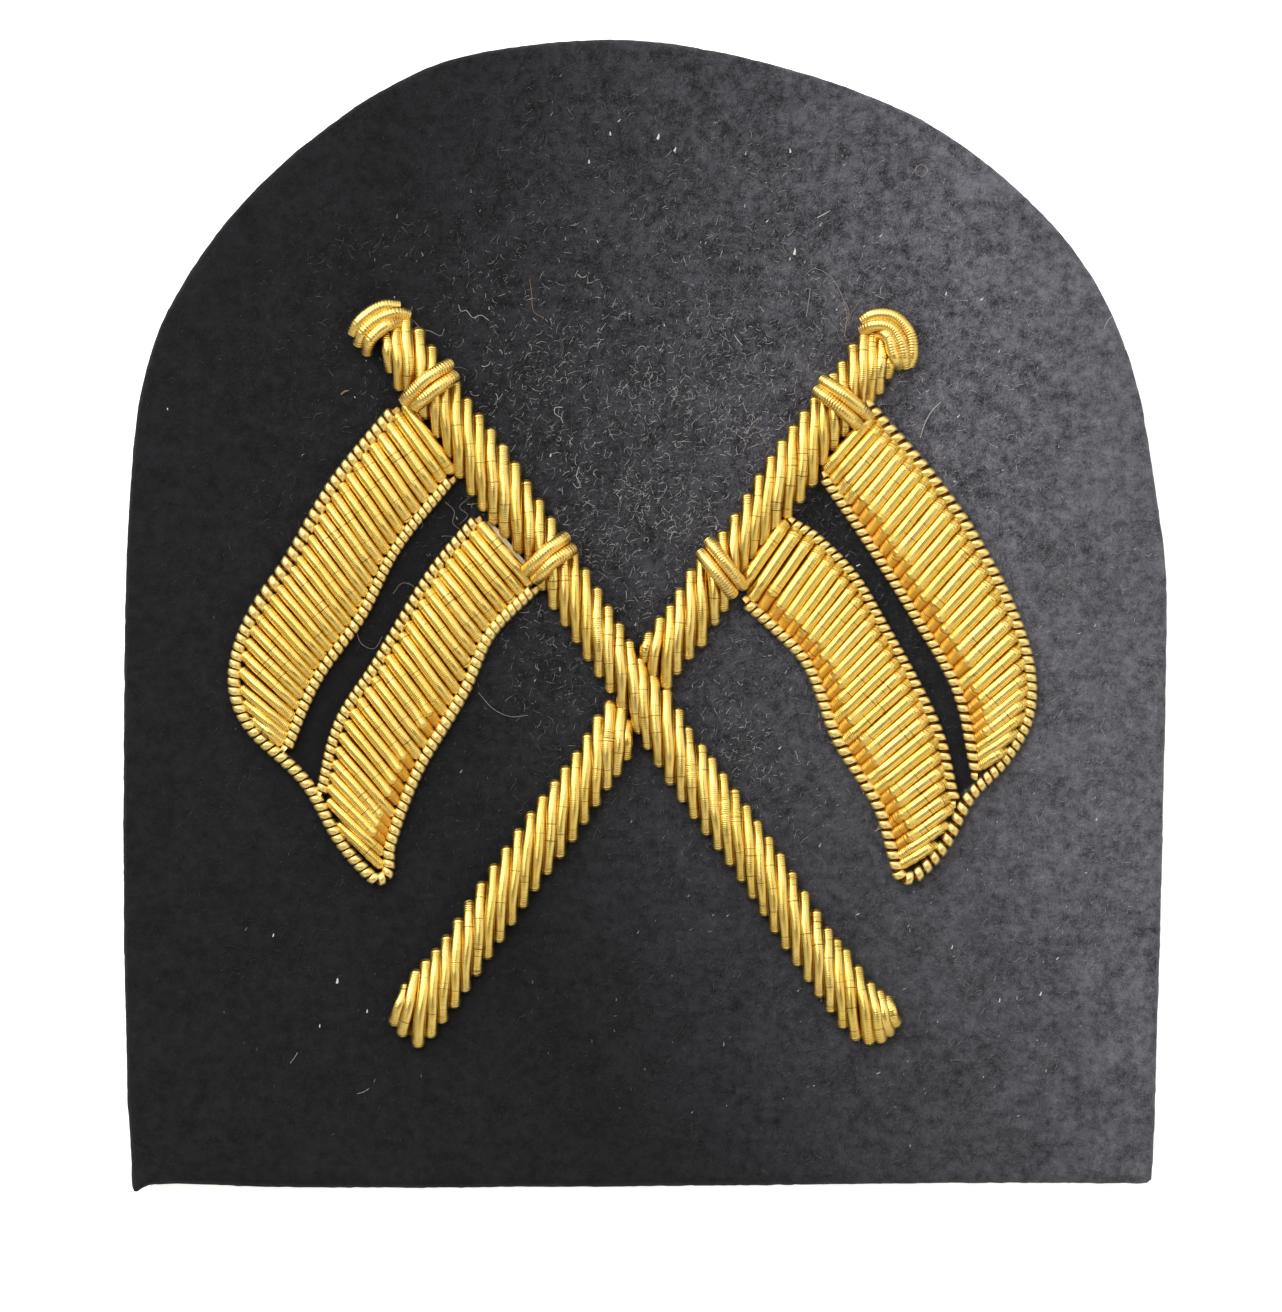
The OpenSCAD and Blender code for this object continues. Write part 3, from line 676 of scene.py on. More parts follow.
# The padding's cotton: yellow where it shows between the tubes, cream where it lies bare
padding_cotton, spot, shader = new_material("padding_cotton", Roughness=0.8, Specular_IOR_Level=0.3)
lint = spot.noise(0.22, 3, 0.6)
fray = spot.noise(0.1, 2, 0.5, (1, 0.3, 1))
uneven = ((lint - 0.5) * 1.6 + 0.5).clamped()
yellow = uneven.tint(rgb(124, 74, 16), rgb(182, 132, 56))
cream = uneven.tint(rgb(204, 190, 152), rgb(234, 224, 196))
(spot.named("bare") * 2.5).clamped().tint(yellow, cream).into(shader, "Base Color")
(lint + fray).bump(shader, 0.6, 0.06)
tube_work = tube_tree()
picks = random.Random(11)
# Cells of the felt that the embroidery covers, so that no nap is made under it
CELL = 0.4
COVER_STEP = 0.25
covered = set()
# The padding's points along each tube, from and over what share of it, and how far its top lies below the
# tubes' and its foot below the felt's face
PADDING_ROWS = 10
PADDING_SHARE = (0.03, 0.94)
PADDING_TOP = 0.8
PADDING_FOOT = 0.4


def cell(x, y):
    """The cell of the felt that a place is in."""
    return round(x / CELL), round(y / CELL)


def padding(name, rows, rise, ramp, reach):
    """The mound under a field of tubes: one row for each tube, bowed as they are, closed below the face."""
    (a, b), (c, d) = rows[0], rows[1]
    first = ((a - c).normalized() * reach + a, (b - d).normalized() * reach + b)
    rows = [first, *rows[1:]]
    verts, faces = [], []
    start, span = PADDING_SHARE
    for a, b in rows:
        length = (b - a).length
        for side in (1, 0):
            for j in range(PADDING_ROWS + 1):
                s = length * (start + span * j / PADDING_ROWS)
                bow = min(1, s / ramp, (length - s) / ramp)
                bow = bow * bow * (3 - 2 * bow)
                p = a + (b - a) * (s / length)
                z = FELT_THICK - PADDING_FOOT
                if side:
                    z = SEWN_Z + TIP_HEIGHT - PADDING_TOP + (rise - TIP_HEIGHT) * bow
                verts.append((p.x * MM, p.y * MM, z * MM))
    row = PADDING_ROWS + 1
    ring = 2 * row
    loop = [*range(row), *range(ring - 1, row - 1, -1)]
    for k in range(len(rows) - 1):
        for j in range(ring):
            p, q = loop[j], loop[(j + 1) % ring]
            faces.append((k * ring + p, k * ring + q, (k + 1) * ring + q, (k + 1) * ring + p))
    faces.append(tuple(loop[::-1]))
    faces.append(tuple((len(rows) - 1) * ring + p for p in loop))
    mesh = bpy.data.meshes.new(name)
    mesh.from_pydata(verts, [], faces)
    shell = bmesh.new()
    shell.from_mesh(mesh)
    bmesh.ops.recalc_face_normals(shell, faces=shell.faces)
    shell.to_mesh(mesh)
    shell.free()
    mesh.polygons.foreach_set("use_smooth", [True] * len(mesh.polygons))
    mesh.attributes.new("bare", "FLOAT", "POINT").data.foreach_set(
        "value", [1.0 if reach and k < ring else 0.0 for k in range(len(verts))])
    piece = new_piece(name, mesh, padding_cotton)


def purl_field(name, node, tops, feet, laid, borders=(), kinks=None, reach=0.0):
    """A field of tubes between two lines of ends; a split or kinked tube is made as several lengths."""
    count = tops[-1][0] + 1
    starts, ends = numbered(tops, count), numbered(feet, count)
    lines = [smooth_line(route, WIRE_STEP) for route in borders]
    verts, edges, rows, spans = [], [], [], []
    for k in range(count):
        a, b = starts[k], ends[k]
        if lines:
            a, b = to_wires(a, b, lines, laid["beside"]), to_wires(b, a, lines, laid["beside"])
        ahead = (b - a).normalized()
        aside = Vector((-ahead.y, ahead.x))
        gaps = []
        for n in (k - 1, k + 1):
            if 0 <= n < count:
                gaps.append(abs(((starts[n] + ends[n]) / 2 - (starts[k] + ends[k]) / 2).dot(aside)))
        least, most = TUBE_SPACING
        room = min(max(sum(gaps) / len(gaps), least), most)
        girth = room / 2 * laid["snug"] * picks.uniform(*GIRTH_SPREAD)
        a, b = a + aside * picks.uniform(*ASIDE_SPREAD), b + aside * picks.uniform(*ASIDE_SPREAD)
        length = (b - a).length
        spans.append((a, b))
        for s in range(1, int(length / COVER_STEP)):
            for off in (-COVER_STEP, 0, COVER_STEP):
                covered.add(cell(*(a + ahead * s * COVER_STEP + aside * off)))
        # Shares of the length at which it is split, and where it is kinked near its inner end
        cuts = []
        for split in SPLITS:
            off = Vector(split) - a
            t = off.dot(ahead)
            if abs(off.dot(aside)) < SPLIT_NEAR and SPLIT_MARGIN < t < length - SPLIT_MARGIN:
                cuts.append(t / length)
        kink = False
        if kinks and kinks["first"] <= k <= kinks["last"]:
            kink = picks.random() < kinks["chance"]
        if kink:
            kinked_at = 1 - picks.uniform(*kinks["from_end"]) / length
            cuts.append(kinked_at)
        cuts = [0.0, *sorted(cuts), 1.0]
        lot, sway_at = picks.random(), picks.uniform(0, 2 * math.pi)
        lie = picks.uniform(*LIE_SPREAD)
        ramp_a, ramp_b = picks.uniform(*laid["outer_slope"]), picks.uniform(*laid["inner_slope"])
        for p, (low, high) in enumerate(zip(cuts, cuts[1:])):
            last = p == len(cuts) - 2
            fallen = kink and last
            low += SPLIT_GAP / length if p else 0
            high -= 0 if last else SPLIT_GAP / length
            p0, p1 = a + (b - a) * low, a + (b - a) * high
            row = {
                "run": [*(p1 - p0) * MM, 0], "low": low, "high": high, "girth": girth * MM,
                "lie": (lie - (KINK_FALLEN if fallen else 0)) * MM,
                "sink": (KINK_SINK if fallen else 0) * MM, "fallen_end_shade": 1.0 if fallen else 0.0,
                "tip_a": (BROKEN_TIP if p else CUT_TIP) * MM, "tip_b": (CUT_TIP if last else BROKEN_TIP) * MM,
                "dip_a": (BROKEN_DIP if p else CUT_DIP) * MM, "dip_b": (CUT_DIP if last else BROKEN_DIP) * MM,
                "ramp_a": ramp_a * MM, "ramp_b": (1 - kinked_at if kink else ramp_b / length) * length * MM,
                "lot": lot, "sway": laid["sway"] * MM, "sway_at": sway_at,
                "crease": laid["softness"], "groove": laid["groove"],
            }
            edges.append((len(verts), len(verts) + 1))
            verts += [(p0.x * MM, p0.y * MM, 0), (p1.x * MM, p1.y * MM, 0)]
            rows += [{**row, "own": 0.0}, {**row, "own": 1.0}]
    values = {key: [row[key] for row in rows] for key in rows[0]}
    piece = worked(name, with_values(name + "_lines", verts, edges, values), tube_work, {
        "Rings": TUBE_RINGS, "Sides": TUBE_SIDES, "Rise": laid["rise"] * MM, "Crown": laid["crown"],
        "Tip Height": TIP_HEIGHT * MM, "Sewn Height": SEWN_Z * MM, "Flare": laid["flare"],
        "Material": purl_gold})
    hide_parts(node)
    padding(node + "_padding", spans, laid["rise"], sum(laid["outer_slope"]) / 2, reach)


# How each kind of field is laid: its rise and crown over the felt, the shortest and longest slope at the
# outer and the inner end and how softly the tube turns into it, its girth to its share of the width, its
# sway, how near it comes to the wires, how much wider its ends are pressed, and how far up its sides the
# shade between two tubes reaches
STAFF_LAID = {
    "rise": STAFF_RISE, "crown": 0.3, "outer_slope": (1.9, 2.4), "inner_slope": (1.9, 2.4), "softness": 0.6,
    "snug": 1.25, "sway": 0.06, "beside": 0, "flare": 0.05, "groove": 0.84,
}
LEFT_LAID = {
    "rise": STRIPE_RISE, "crown": 0.2, "outer_slope": (1.2, 1.7), "inner_slope": (1, 1.4), "softness": 0.5,
    "snug": 1.045, "sway": 0.015, "beside": 0.6, "flare": 0.06, "groove": 0.65,
}
RIGHT_LAID = {
    "rise": STRIPE_RISE, "crown": 0.15, "outer_slope": (0.4, 0.7), "inner_slope": (0.9, 1.3),
    "softness": 0.12, "snug": 1.11, "sway": 0.015, "beside": 0.5, "flare": 0.06, "groove": 0.66,
}
# The tubes of a stripe that may be kinked, how many of them are, and how far from the inner end
LEFT_INNER_KINKS = {"first": 13, "last": 24, "chance": 0.9, "from_end": (0.7, 0.95)}
RIGHT_OUTER_KINKS = {"first": 4, "last": 25, "chance": 0.85, "from_end": (0.8, 1.3)}
RIGHT_INNER_KINKS = {"first": 2, "last": 26, "chance": 0.9, "from_end": (0.8, 1.3)}
# The padding of the left inner stripe lies bare beyond its first tube
BARE_REACH = 0.78
purl_field("over_staff_purl", "over_staff", OVER_TOPS, OVER_FEET, STAFF_LAID)
purl_field("under_staff_upper_purl", "under_staff_upper", UPPER_TOPS, UPPER_FEET, STAFF_LAID)
purl_field("under_staff_lower_purl", "under_staff_lower", LOWER_TOPS, LOWER_FEET, STAFF_LAID)
purl_field("left_outer_purl", "left_outer_stripe", LEFT_OUTER_TOPS, LEFT_OUTER_FEET, LEFT_LAID,
           (LEFT_BORDER, LEFT_OUTER_EDGE))
purl_field("left_inner_purl", "left_inner_stripe", LEFT_INNER_TOPS, LEFT_INNER_FEET, LEFT_LAID,
           (LEFT_BORDER, LEFT_INNER_EDGE), LEFT_INNER_KINKS, BARE_REACH)
purl_field("right_outer_purl", "right_outer_stripe", RIGHT_OUTER_TOPS, RIGHT_OUTER_FEET, RIGHT_LAID,
           (RIGHT_BORDER, RIGHT_OUTER_EDGE), RIGHT_OUTER_KINKS)
purl_field("right_inner_purl", "right_inner_stripe", RIGHT_INNER_TOPS, RIGHT_INNER_FEET, RIGHT_LAID,
           (RIGHT_BORDER, RIGHT_INNER_EDGE), RIGHT_INNER_KINKS)

# The beaded wire: pearl purl, a stiff gilt wire wound into a row of beads. It runs round each flag and
# along the inner edges of the stripes, laid on the felt and held by stitches that sink between the beads.
BEAD_STEPS = 18
BEAD_SIDES = 12
# Radius of the coil, and depth and width of its flattened wire
BORDER_WIRE = (0.325, 0.14, 0.276)
EDGE_WIRE = (0.3, 0.12, 0.242)
# The coil is spread sideways and pressed flat, lies this high and this uneven, and is wider where its beads
# are longer
COIL_SPREAD = 1.12
COIL_PRESSED = 0.8
COIL_LIE = 0.03
COIL_UNEVEN = 0.05
GIRTH_POWER = 0.4
BEAD_ROUTE_STEP = 0.1
# How far each turn of the wire leans towards the creases between the beads
LEFT_BORDER_LEAN = 0.5
RIGHT_BORDER_LEAN = 0.6
EDGE_LEAN = 0.4
# Distance along each wire and how far apart its beads are sewn there
LEFT_BORDER_PITCH = [
    (0, 0.71), (7, 0.71), (10, 0.79), (14, 0.86), (18, 0.89), (19.5, 0.75), (21, 0.66), (26, 0.69),
    (40, 0.67), (46, 0.64), (56, 0.64), (70, 0.57),
]
RIGHT_BORDER_PITCH = [
    (0, 0.83), (6, 0.87), (9, 0.82), (15, 0.77), (21, 0.7), (24, 0.67), (33, 0.67), (35.5, 0.84), (40, 0.83),
    (45, 0.79), (54, 0.78), (58, 0.69), (70, 0.67),
]
LEFT_OUTER_PITCH = [(0, 0.56), (9, 0.58), (15, 0.66), (20, 0.61), (30, 0.58)]
LEFT_INNER_PITCH = [(0, 0.62), (6, 0.68), (9, 0.72), (12, 0.67), (15, 0.62), (30, 0.59)]
RIGHT_OUTER_PITCH = [(0, 0.65), (6, 0.67), (18, 0.67), (21, 0.74), (30, 0.78)]
RIGHT_INNER_PITCH = [(0, 0.63), (9, 0.645), (12, 0.67), (15, 0.69), (18, 0.75), (30, 0.72)]


def bead_tree():
    """Winds a wire of flattened section round a route, one turn for each bead."""
    tree, loom = new_tree("pearl_purl", ["Sides"], [
        "Step", "Coil Radius", "Wire Width", "Wire Depth", "Sewn Height", "Spread", "Flattened", "Lean"])
    named = loom.named
    curve = loom.add("GeometryNodeMeshToCurve", None, [given(loom, "Geometry")])
    curve = loom.add(
        "GeometryNodeResampleCurve", {"mode": "LENGTH"}, {"Curve": curve, "Length": given(loom, "Step")})
    ahead = loom.add("GeometryNodeInputTangent")
    left = loom.add("ShaderNodeVectorMath", {"operation": "CROSS_PRODUCT"}, [(0, 0, 1), ahead])
    phase = named("turns") * (2 * math.pi)
    phase = phase + phase.apply("SINE") * given(loom, "Lean")
    up = loom.add("ShaderNodeCombineXYZ", None, {"Z": phase.apply("COSINE")})
    outward = left * phase.apply("SINE") * given(loom, "Spread") + up * given(loom, "Flattened")
    radius = given(loom, "Coil Radius") * named("girth")
    height = given(loom, "Sewn Height") + given(loom, "Coil Radius") + given(loom, "Wire Depth")
    lift = loom.add("ShaderNodeCombineXYZ", None, {"Z": height})
    curve = kept(curve, "outward", outward, True)
    curve = kept(curve, "shift", outward * radius + lift, True)
    # How far down each point lies on its turn; the material paints the lower side in shade
    curve = kept(curve, "lower", 0.5 - phase.apply("COSINE") * 0.5)
    curve = loom.add("GeometryNodeSetPosition", None, {"Geometry": curve, "Offset": named("shift", True)})
    curve = loom.add(
        "GeometryNodeSetCurveNormal", {"mode": "FREE"}, {"Curve": curve, "Normal": named("outward", True)})
    # The wire's section is a circle drawn out towards a rounded rectangle
    place = loom.add("GeometryNodeInputPosition")
    px, py = place.part("X"), place.part("Y")
    fuller = (px ** 4 + py ** 4) ** -0.25
    drawn = loom.add("ShaderNodeCombineXYZ", None, {
        "X": px * fuller * given(loom, "Wire Depth"), "Y": py * fuller * given(loom, "Wire Width")})
    profile = loom.add("GeometryNodeSetPosition", None, {"Geometry": section(loom), "Position": drawn})
    ends_in_mesh(loom, curve, profile, "girth")
    return tree


bead_gold, spot, shader = new_material("pearl_purl_gold", Metallic=1.0)
worn = spot.noise(1.6, 3, 0.6)
scuffs = spot.noise(0.14, 3, 0.6)
lower = spot.named("lower")
body = worn.tint(rgb(248, 214, 132), rgb(254, 233, 158))
# Painted shade: the lower side of each turn of the wire is darkened towards brown
((lower - 0.4) * 2.3).clamped().tint(body, rgb(150, 94, 22)).into(shader, "Base Color")
(0.29 + scuffs * 0.2 + lower * 0.1).into(shader, "Roughness")
scuffs.bump(shader, 0.3, 0.02)
bead_work = bead_tree()


def bead_wire(node, route, pitches, wire, lean):
    """Pearl purl along a route, its beads as far apart as the list of distances and pitches says."""
    radius, depth, width = wire
    line = smooth_line(route, BEAD_ROUTE_STEP)
    at = marks_along(line)
    distances = [distance for distance, _ in pitches]
    apart = [row_at([(pitch,) for _, pitch in pitches], distances, s)[0] for s in at]
    turns = [0.0]
    for k in range(1, len(at)):
        turns.append(turns[-1] + (at[k] - at[k - 1]) / apart[k])
    whole = round(turns[-1]) / turns[-1]
    middle = sum(apart) / len(apart)
    girth, points = [], []
    for (x, y), s, pitch in zip(line, at, apart):
        girth.append((pitch / middle) ** GIRTH_POWER * (1 + COIL_UNEVEN * noise.noise((s / 3, 4.4, 0))))
        points.append((x * MM, y * MM, (COIL_LIE + COIL_UNEVEN * noise.noise((s / 4, 9.1, 0))) * MM))
    edges = [(k, k + 1) for k in range(len(points) - 1)]
    values = {"turns": [t * whole for t in turns], "girth": girth}
    name = node + "_beads"
    piece = worked(name, with_values(name + "_route", points, edges, values), bead_work, {
        "Step": middle / BEAD_STEPS * MM, "Sides": BEAD_SIDES, "Coil Radius": radius * MM,
        "Wire Width": width * MM, "Wire Depth": depth * MM, "Sewn Height": SEWN_Z * MM,
        "Spread": COIL_SPREAD, "Flattened": COIL_PRESSED, "Lean": lean,
        "Material": bead_gold})
    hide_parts(node)


bead_wire("left_flag_border", LEFT_BORDER, LEFT_BORDER_PITCH, BORDER_WIRE, LEFT_BORDER_LEAN)
bead_wire("left_outer_edge", LEFT_OUTER_EDGE, LEFT_OUTER_PITCH, EDGE_WIRE, EDGE_LEAN)
bead_wire("left_inner_edge", LEFT_INNER_EDGE, LEFT_INNER_PITCH, EDGE_WIRE, EDGE_LEAN)
bead_wire("right_flag_border", RIGHT_BORDER, RIGHT_BORDER_PITCH, BORDER_WIRE, RIGHT_BORDER_LEAN)
bead_wire("right_outer_edge", RIGHT_OUTER_EDGE, RIGHT_OUTER_PITCH, EDGE_WIRE, EDGE_LEAN)
bead_wire("right_inner_edge", RIGHT_INNER_EDGE, RIGHT_INNER_PITCH, EDGE_WIRE, EDGE_LEAN)

# The ties and finials: the flags are tied on with two purl lengths laid over the staff at each corner, and
# a few curved lengths of a coarser purl cap each staff. Their coils stand apart a little and show as rings.
TIE_GIRTH = 1.04
TIE_SUNK = 0.02
FINIAL_GIRTH = 1.0
FINIAL_SUNK = 0.05
LOT_GIRTH = (0.97, 1.04)
RING_PITCH = 0.2
RING_DEPTH = 0.06
RING_STEPS = 4
RING_SIDES = 14
ROUNDED_TIP = 0.16
ROUTE_STEPS = 40
# A tie bends at this share of the way from an end to its middle, and drops at its free end by these
TIE_BEND = 0.35
FREE_DROPS = (0.28, 0.85)
# x, y of each tube's end at the flag, its middle over the staff and its free end
TIES = {
    "left_upper_tie": [
        [(-18.1, 16.05), (-16.4, 17.7), (-14.5, 18.95)], [(-17.25, 15.7), (-15.7, 16.95), (-14.15, 18.05)]],
    "left_lower_tie": [
        [(-8.9, 3.35), (-7.45, 4.8), (-5.85, 6)], [(-8.2, 2.75), (-6.9, 4.05), (-5.35, 5.1)]],
    "right_upper_tie": [
        [(16.65, 15.1), (14.95, 16.5), (13.2, 17.75)], [(15.95, 14.35), (14.35, 15.75), (12.8, 16.95)]],
    "right_lower_tie": [
        [(7.2, 2.4), (5.95, 4.05), (4.7, 5.7)], [(6.6, 1.6), (5.35, 3.2), (4.15, 4.8)]],
}
# x, y along each tube and how far its middle lies over the felt
FINIALS = {
    "left_finial": [
        ([(-21.95, 21.05), (-21.45, 22), (-20.55, 22.8), (-19.55, 23.27), (-18.35, 23.25)], 0.5),
        ([(-21.5, 20.3), (-21.15, 21.2), (-20.45, 21.95), (-19.5, 22.5), (-18.6, 22.75),
          (-17.65, 22.6)], 0.75),
        ([(-20.85, 19.7), (-20.6, 20.6), (-20, 21.3), (-19.2, 21.85), (-18.3, 22.1)], 0.95),
    ],
    "right_finial": [
        ([(16.25, 22.05), (16.9, 22.52), (17.8, 22.65), (18.7, 22.43), (19.43, 21.8), (19.93, 20.94),
          (20.05, 20.1), (20, 19.4), (19.8, 18.8)], 0.5),
        ([(16.2, 21.4), (16.9, 21.75), (17.7, 21.85), (18.44, 21.6), (18.98, 20.94), (19.3, 20.12),
          (19.45, 19.4), (19.6, 18.7)], 0.8),
        ([(17.45, 21.2), (18, 21.1), (18.35, 20.65), (18.5, 19.95), (18.75, 19.3), (19.1, 18.75)], 0.85),
    ],
}


def coil_tree():
    """A tube along each line of a mesh, its wall rippled by the rings of its coil."""
    tree, loom = new_tree("ringed_purl", ["Sides"], ["Step", "Girth", "Ring Depth"])
    curve = loom.add("GeometryNodeMeshToCurve", None, [given(loom, "Geometry")])
    curve = loom.add(
        "GeometryNodeResampleCurve", {"mode": "LENGTH"}, {"Curve": curve, "Length": given(loom, "Step")})
    along = loom.add("GeometryNodeSplineParameter", out="Length")
    rest = loom.add("GeometryNodeSplineLength", out="Length") - along
    # Each ring has the same number of points, so that every crease between two rings has one
    turn = loom.add("GeometryNodeSplineParameter", out="Index") * (2 * math.pi / RING_STEPS)
    opened = ((loom.add("GeometryNodeInputPosition").noise(1.1, 2) - 0.32) * 2.2).clamped(0.3, 0.9)
    ring = 1 - (0.5 - turn.apply("COSINE") * 0.5) * opened
    blunt_a = 1 - (along / (ROUNDED_TIP * MM)).clamped()
    blunt_b = 1 - (rest / (ROUNDED_TIP * MM)).clamped()
    blunt = (1 - blunt_a * blunt_a * 0.9 - blunt_b * blunt_b * 0.9).apply("SQRT")
    width = given(loom, "Girth") * 0.5 - given(loom, "Ring Depth") * (1 - ring)
    width = width * blunt * loom.named("lot_girth")
    curve = kept(kept(curve, "width", width), "ring", ring)
    curve = loom.add("GeometryNodeSetCurveNormal", {"mode": "Z_UP"}, {"Curve": curve})
    profile = kept(section(loom), "round", loom.add("GeometryNodeInputPosition"), True)
    ends_in_mesh(loom, curve, profile, "width")
    return tree


ringed_gold, spot, shader = new_material("ringed_purl_gold", Metallic=1.0)
worn = (spot.noise(0.9, 3, 0.6) * 0.8 + spot.named("lot") * 0.4 - 0.1).clamped()
upward = 0 - spot.named("round", True).part("Y")
body = worn.tint(rgb(246, 209, 112), rgb(252, 225, 142))
# Painted shade: the tube's lower sides are darkened towards brown
body = ((0.5 - upward) * 1.8).clamped().tint(body, rgb(180, 128, 40))
# Painted shade: dark lines in the creases between the coil's rings
ring_crease_shade = ((0.75 - spot.named("ring")) * 1.3).clamped()
ring_crease_shade.tint(body, rgb(142, 90, 24)).into(shader, "Base Color")
(0.2 + spot.noise(0.3, 2) * 0.16).into(shader, "Roughness")
spot.noise(0.1, 3).bump(shader, 0.3, 0.01)
coil_work = coil_tree()


def ringed_tubes(node, tubes, girth, heights):
    """Purl along several routes, with the height of the tube's middle at every point of them."""
    verts, edges, lots, girths = [], [], [], []
    points = ROUTE_STEPS + 1
    for tube, height in zip(tubes, heights):
        at = marks_along(tube)
        rows = [(x, y, z) for (x, y), z in zip(tube, height)]
        line = [row_at(rows, at, at[-1] * k / ROUTE_STEPS) for k in range(points)]
        first = len(verts)
        verts += [(x * MM, y * MM, z * MM) for x, y, z in line]
        edges += [(first + k, first + k + 1) for k in range(ROUTE_STEPS)]
        lots += [picks.random()] * points
        girths += [picks.uniform(*LOT_GIRTH)] * points
    name = node + "_purl"
    mesh = with_values(name + "_routes", verts, edges, {"lot": lots, "lot_girth": girths})
    piece = worked(name, mesh, coil_work, {
        "Step": RING_PITCH / RING_STEPS * MM, "Sides": RING_SIDES, "Girth": girth * MM,
        "Ring Depth": RING_DEPTH * MM, "Material": ringed_gold})
    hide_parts(node)


over_staff_top = SEWN_Z + STAFF_RISE + TIE_GIRTH / 2 - TIE_SUNK
at_flag = SEWN_Z + TIP_HEIGHT + TIE_GIRTH / 2
between = (at_flag + 2 * over_staff_top) / 3
tie_heights = [at_flag, between, over_staff_top, *(over_staff_top - drop for drop in FREE_DROPS)]
for node, tubes in TIES.items():
    routes = []
    for start, middle, free in tubes:
        near = tuple(a + (b - a) * TIE_BEND for a, b in zip(start, middle))
        far = tuple(a + (b - a) * TIE_BEND for a, b in zip(free, middle))
        routes.append([start, near, middle, far, free])
    ringed_tubes(node, routes, TIE_GIRTH, [tie_heights] * len(routes))
finial_foot = SEWN_Z + FINIAL_GIRTH / 2 - FINIAL_SUNK
for node, tubes in FINIALS.items():
    heights = []
    for route, top in tubes:
        last = len(route) - 1
        heights.append([finial_foot + top * (1 - (2 * k / last - 1) ** 4) for k in range(last + 1)])
    ringed_tubes(node, [route for route, _ in tubes], FINIAL_GIRTH, heights)

# The nap: short wool fibres that stand out of the felt, and the lint and stray hairs caught in it. The nap
# is rubbed up most round the middle and towards the upper right, where it leans up and to the right.
NAP_FIBRES = 25000
NAP_PIECES = 2
NAP_POINTS = 3
NAP_SIDES = 3
NAP_ACROSS = (-38.3, 38.3)
NAP_UPWARD = (-42, 42.5)
NAP_HEADING = (math.radians(42), 0.85)
NAP_REVERSED = 0.3
NAP_SHORTEST = 0.14
NAP_LONGER = 0.66
NAP_TURN = 1.2
NAP_LIFT = (0.05, 0.3)
FIBRE_GIRTH = (0.018, 0.036)
FIBRE_SUNK = 0.04
# The part of an arch that a fibre follows: where it starts and how much of it
FIBRE_ARCH = (0.12, 0.85)
# x, y and spread of the places where the nap stands thickest, and of those where it is palest
THICK_ABOVE, THICK_BESIDE = (2, 12, 420), (8, -6, 80)
PALE_ABOVE, PALE_BESIDE = (1, 12, 300), (8, -6, 70)
BESIDE_SHARE = 0.85
THINNEST_NAP = 0.12
# The painted shade between the stripes reaches no felt beyond these
SHADED_GAP_ACROSS = 30
SHADED_GAP_UPWARD = 16
# How far fibres, curls and dust keep from the cut edge, as a share of the way to it
NAP_MARGIN = 1.01
CURLS_MARGIN = 1.05
DUST_MARGIN = 1.03
# How much of a fibre's paleness is left between a flag's two stripes: painted shade
GAP_FIBRE_PALENESS = 0.3
fibre_picks = random.Random(5)


def fibre_tree():
    """A thin closed prism along every line of a mesh, as thick as the mesh says at each of its points."""
    tree, loom = new_tree("wool_fibres", ["Sides"], [])
    curve = loom.add("GeometryNodeMeshToCurve", None, [given(loom, "Geometry")])
    ends_in_mesh(loom, curve, section(loom), "width", smooth=False)
    return tree


wool_fibre, spot, shader = new_material("wool_fibre", Roughness=0.7, Specular_IOR_Level=0.3)
pale = (spot.named("pale") + (spot.noise(0.3, 2) - 0.5) * 0.25).clamped()
grey = pale.tint(rgb(16, 16, 19), rgb(225, 225, 228))
brown = pale.tint(rgb(30, 16, 10), rgb(214, 168, 128))
spot.named("warm").tint(grey, brown).into(shader, "Base Color")
fibre_work = fibre_tree()


def enclosed(line, x, y):
    """Whether a point is inside a closed line."""
    inside = False
    for (x0, y0), (x1, y1) in zip(line, line[1:] + line[:1]):
        if (y0 > y) != (y1 > y) and x < (x1 - x0) * (y - y0) / (y1 - y0) + x0:
            inside = not inside
    return inside


def clipped(value):
    """The value, kept between 0 and 1."""
    return min(max(value, 0), 1)


def fading(x, y, middle_x, middle_y, spread):
    """A share that falls off smoothly round a middle."""
    return math.exp(-((x - middle_x) ** 2 + (y - middle_y) ** 2) / spread)


def rubbed(x, y):
    """How dense the nap stands at a place, from 0 to 1."""
    middle = max(fading(x, y, *THICK_ABOVE), fading(x, y, *THICK_BESIDE))
    patches = 0.5 + unevenness((0.8, 6), x, y, 0.3)
    return min(1, max(THINNEST_NAP, (0.3 + 0.7 * middle + 0.35 * clipped((x + 30) / 70)) * patches))


patch_edge = [(x, y) for x, y, _ in OUTLINE]


def inside_edge(x, y, margin):
    """Whether a place is on the felt, and that far inside its cut edge."""
    return enclosed(patch_edge, x * margin, y * margin)


left_gap = LEFT_OUTER_EDGE + LEFT_INNER_EDGE[::-1]
right_gap = RIGHT_OUTER_EDGE + RIGHT_INNER_EDGE[::-1]


def in_gap(x, y):
    """Whether a place is on the felt between the two stripes of a flag."""
    return enclosed(left_gap, x, y) or enclosed(right_gap, x, y)


# The felt between a flag's two stripes is marked for its painted shade
gap_shade_layer = felt.data.attributes.new("shaded_between_stripes", "FLOAT", "POINT")
for point in felt.data.vertices:
    x, y = point.co.x / MM, point.co.y / MM
    if abs(x) < SHADED_GAP_ACROSS and abs(y) < SHADED_GAP_UPWARD and in_gap(x, y):
        gap_shade_layer.data[point.index].value = 1.0

verts, edges, widths, pales, warms = [], [], [], [], []


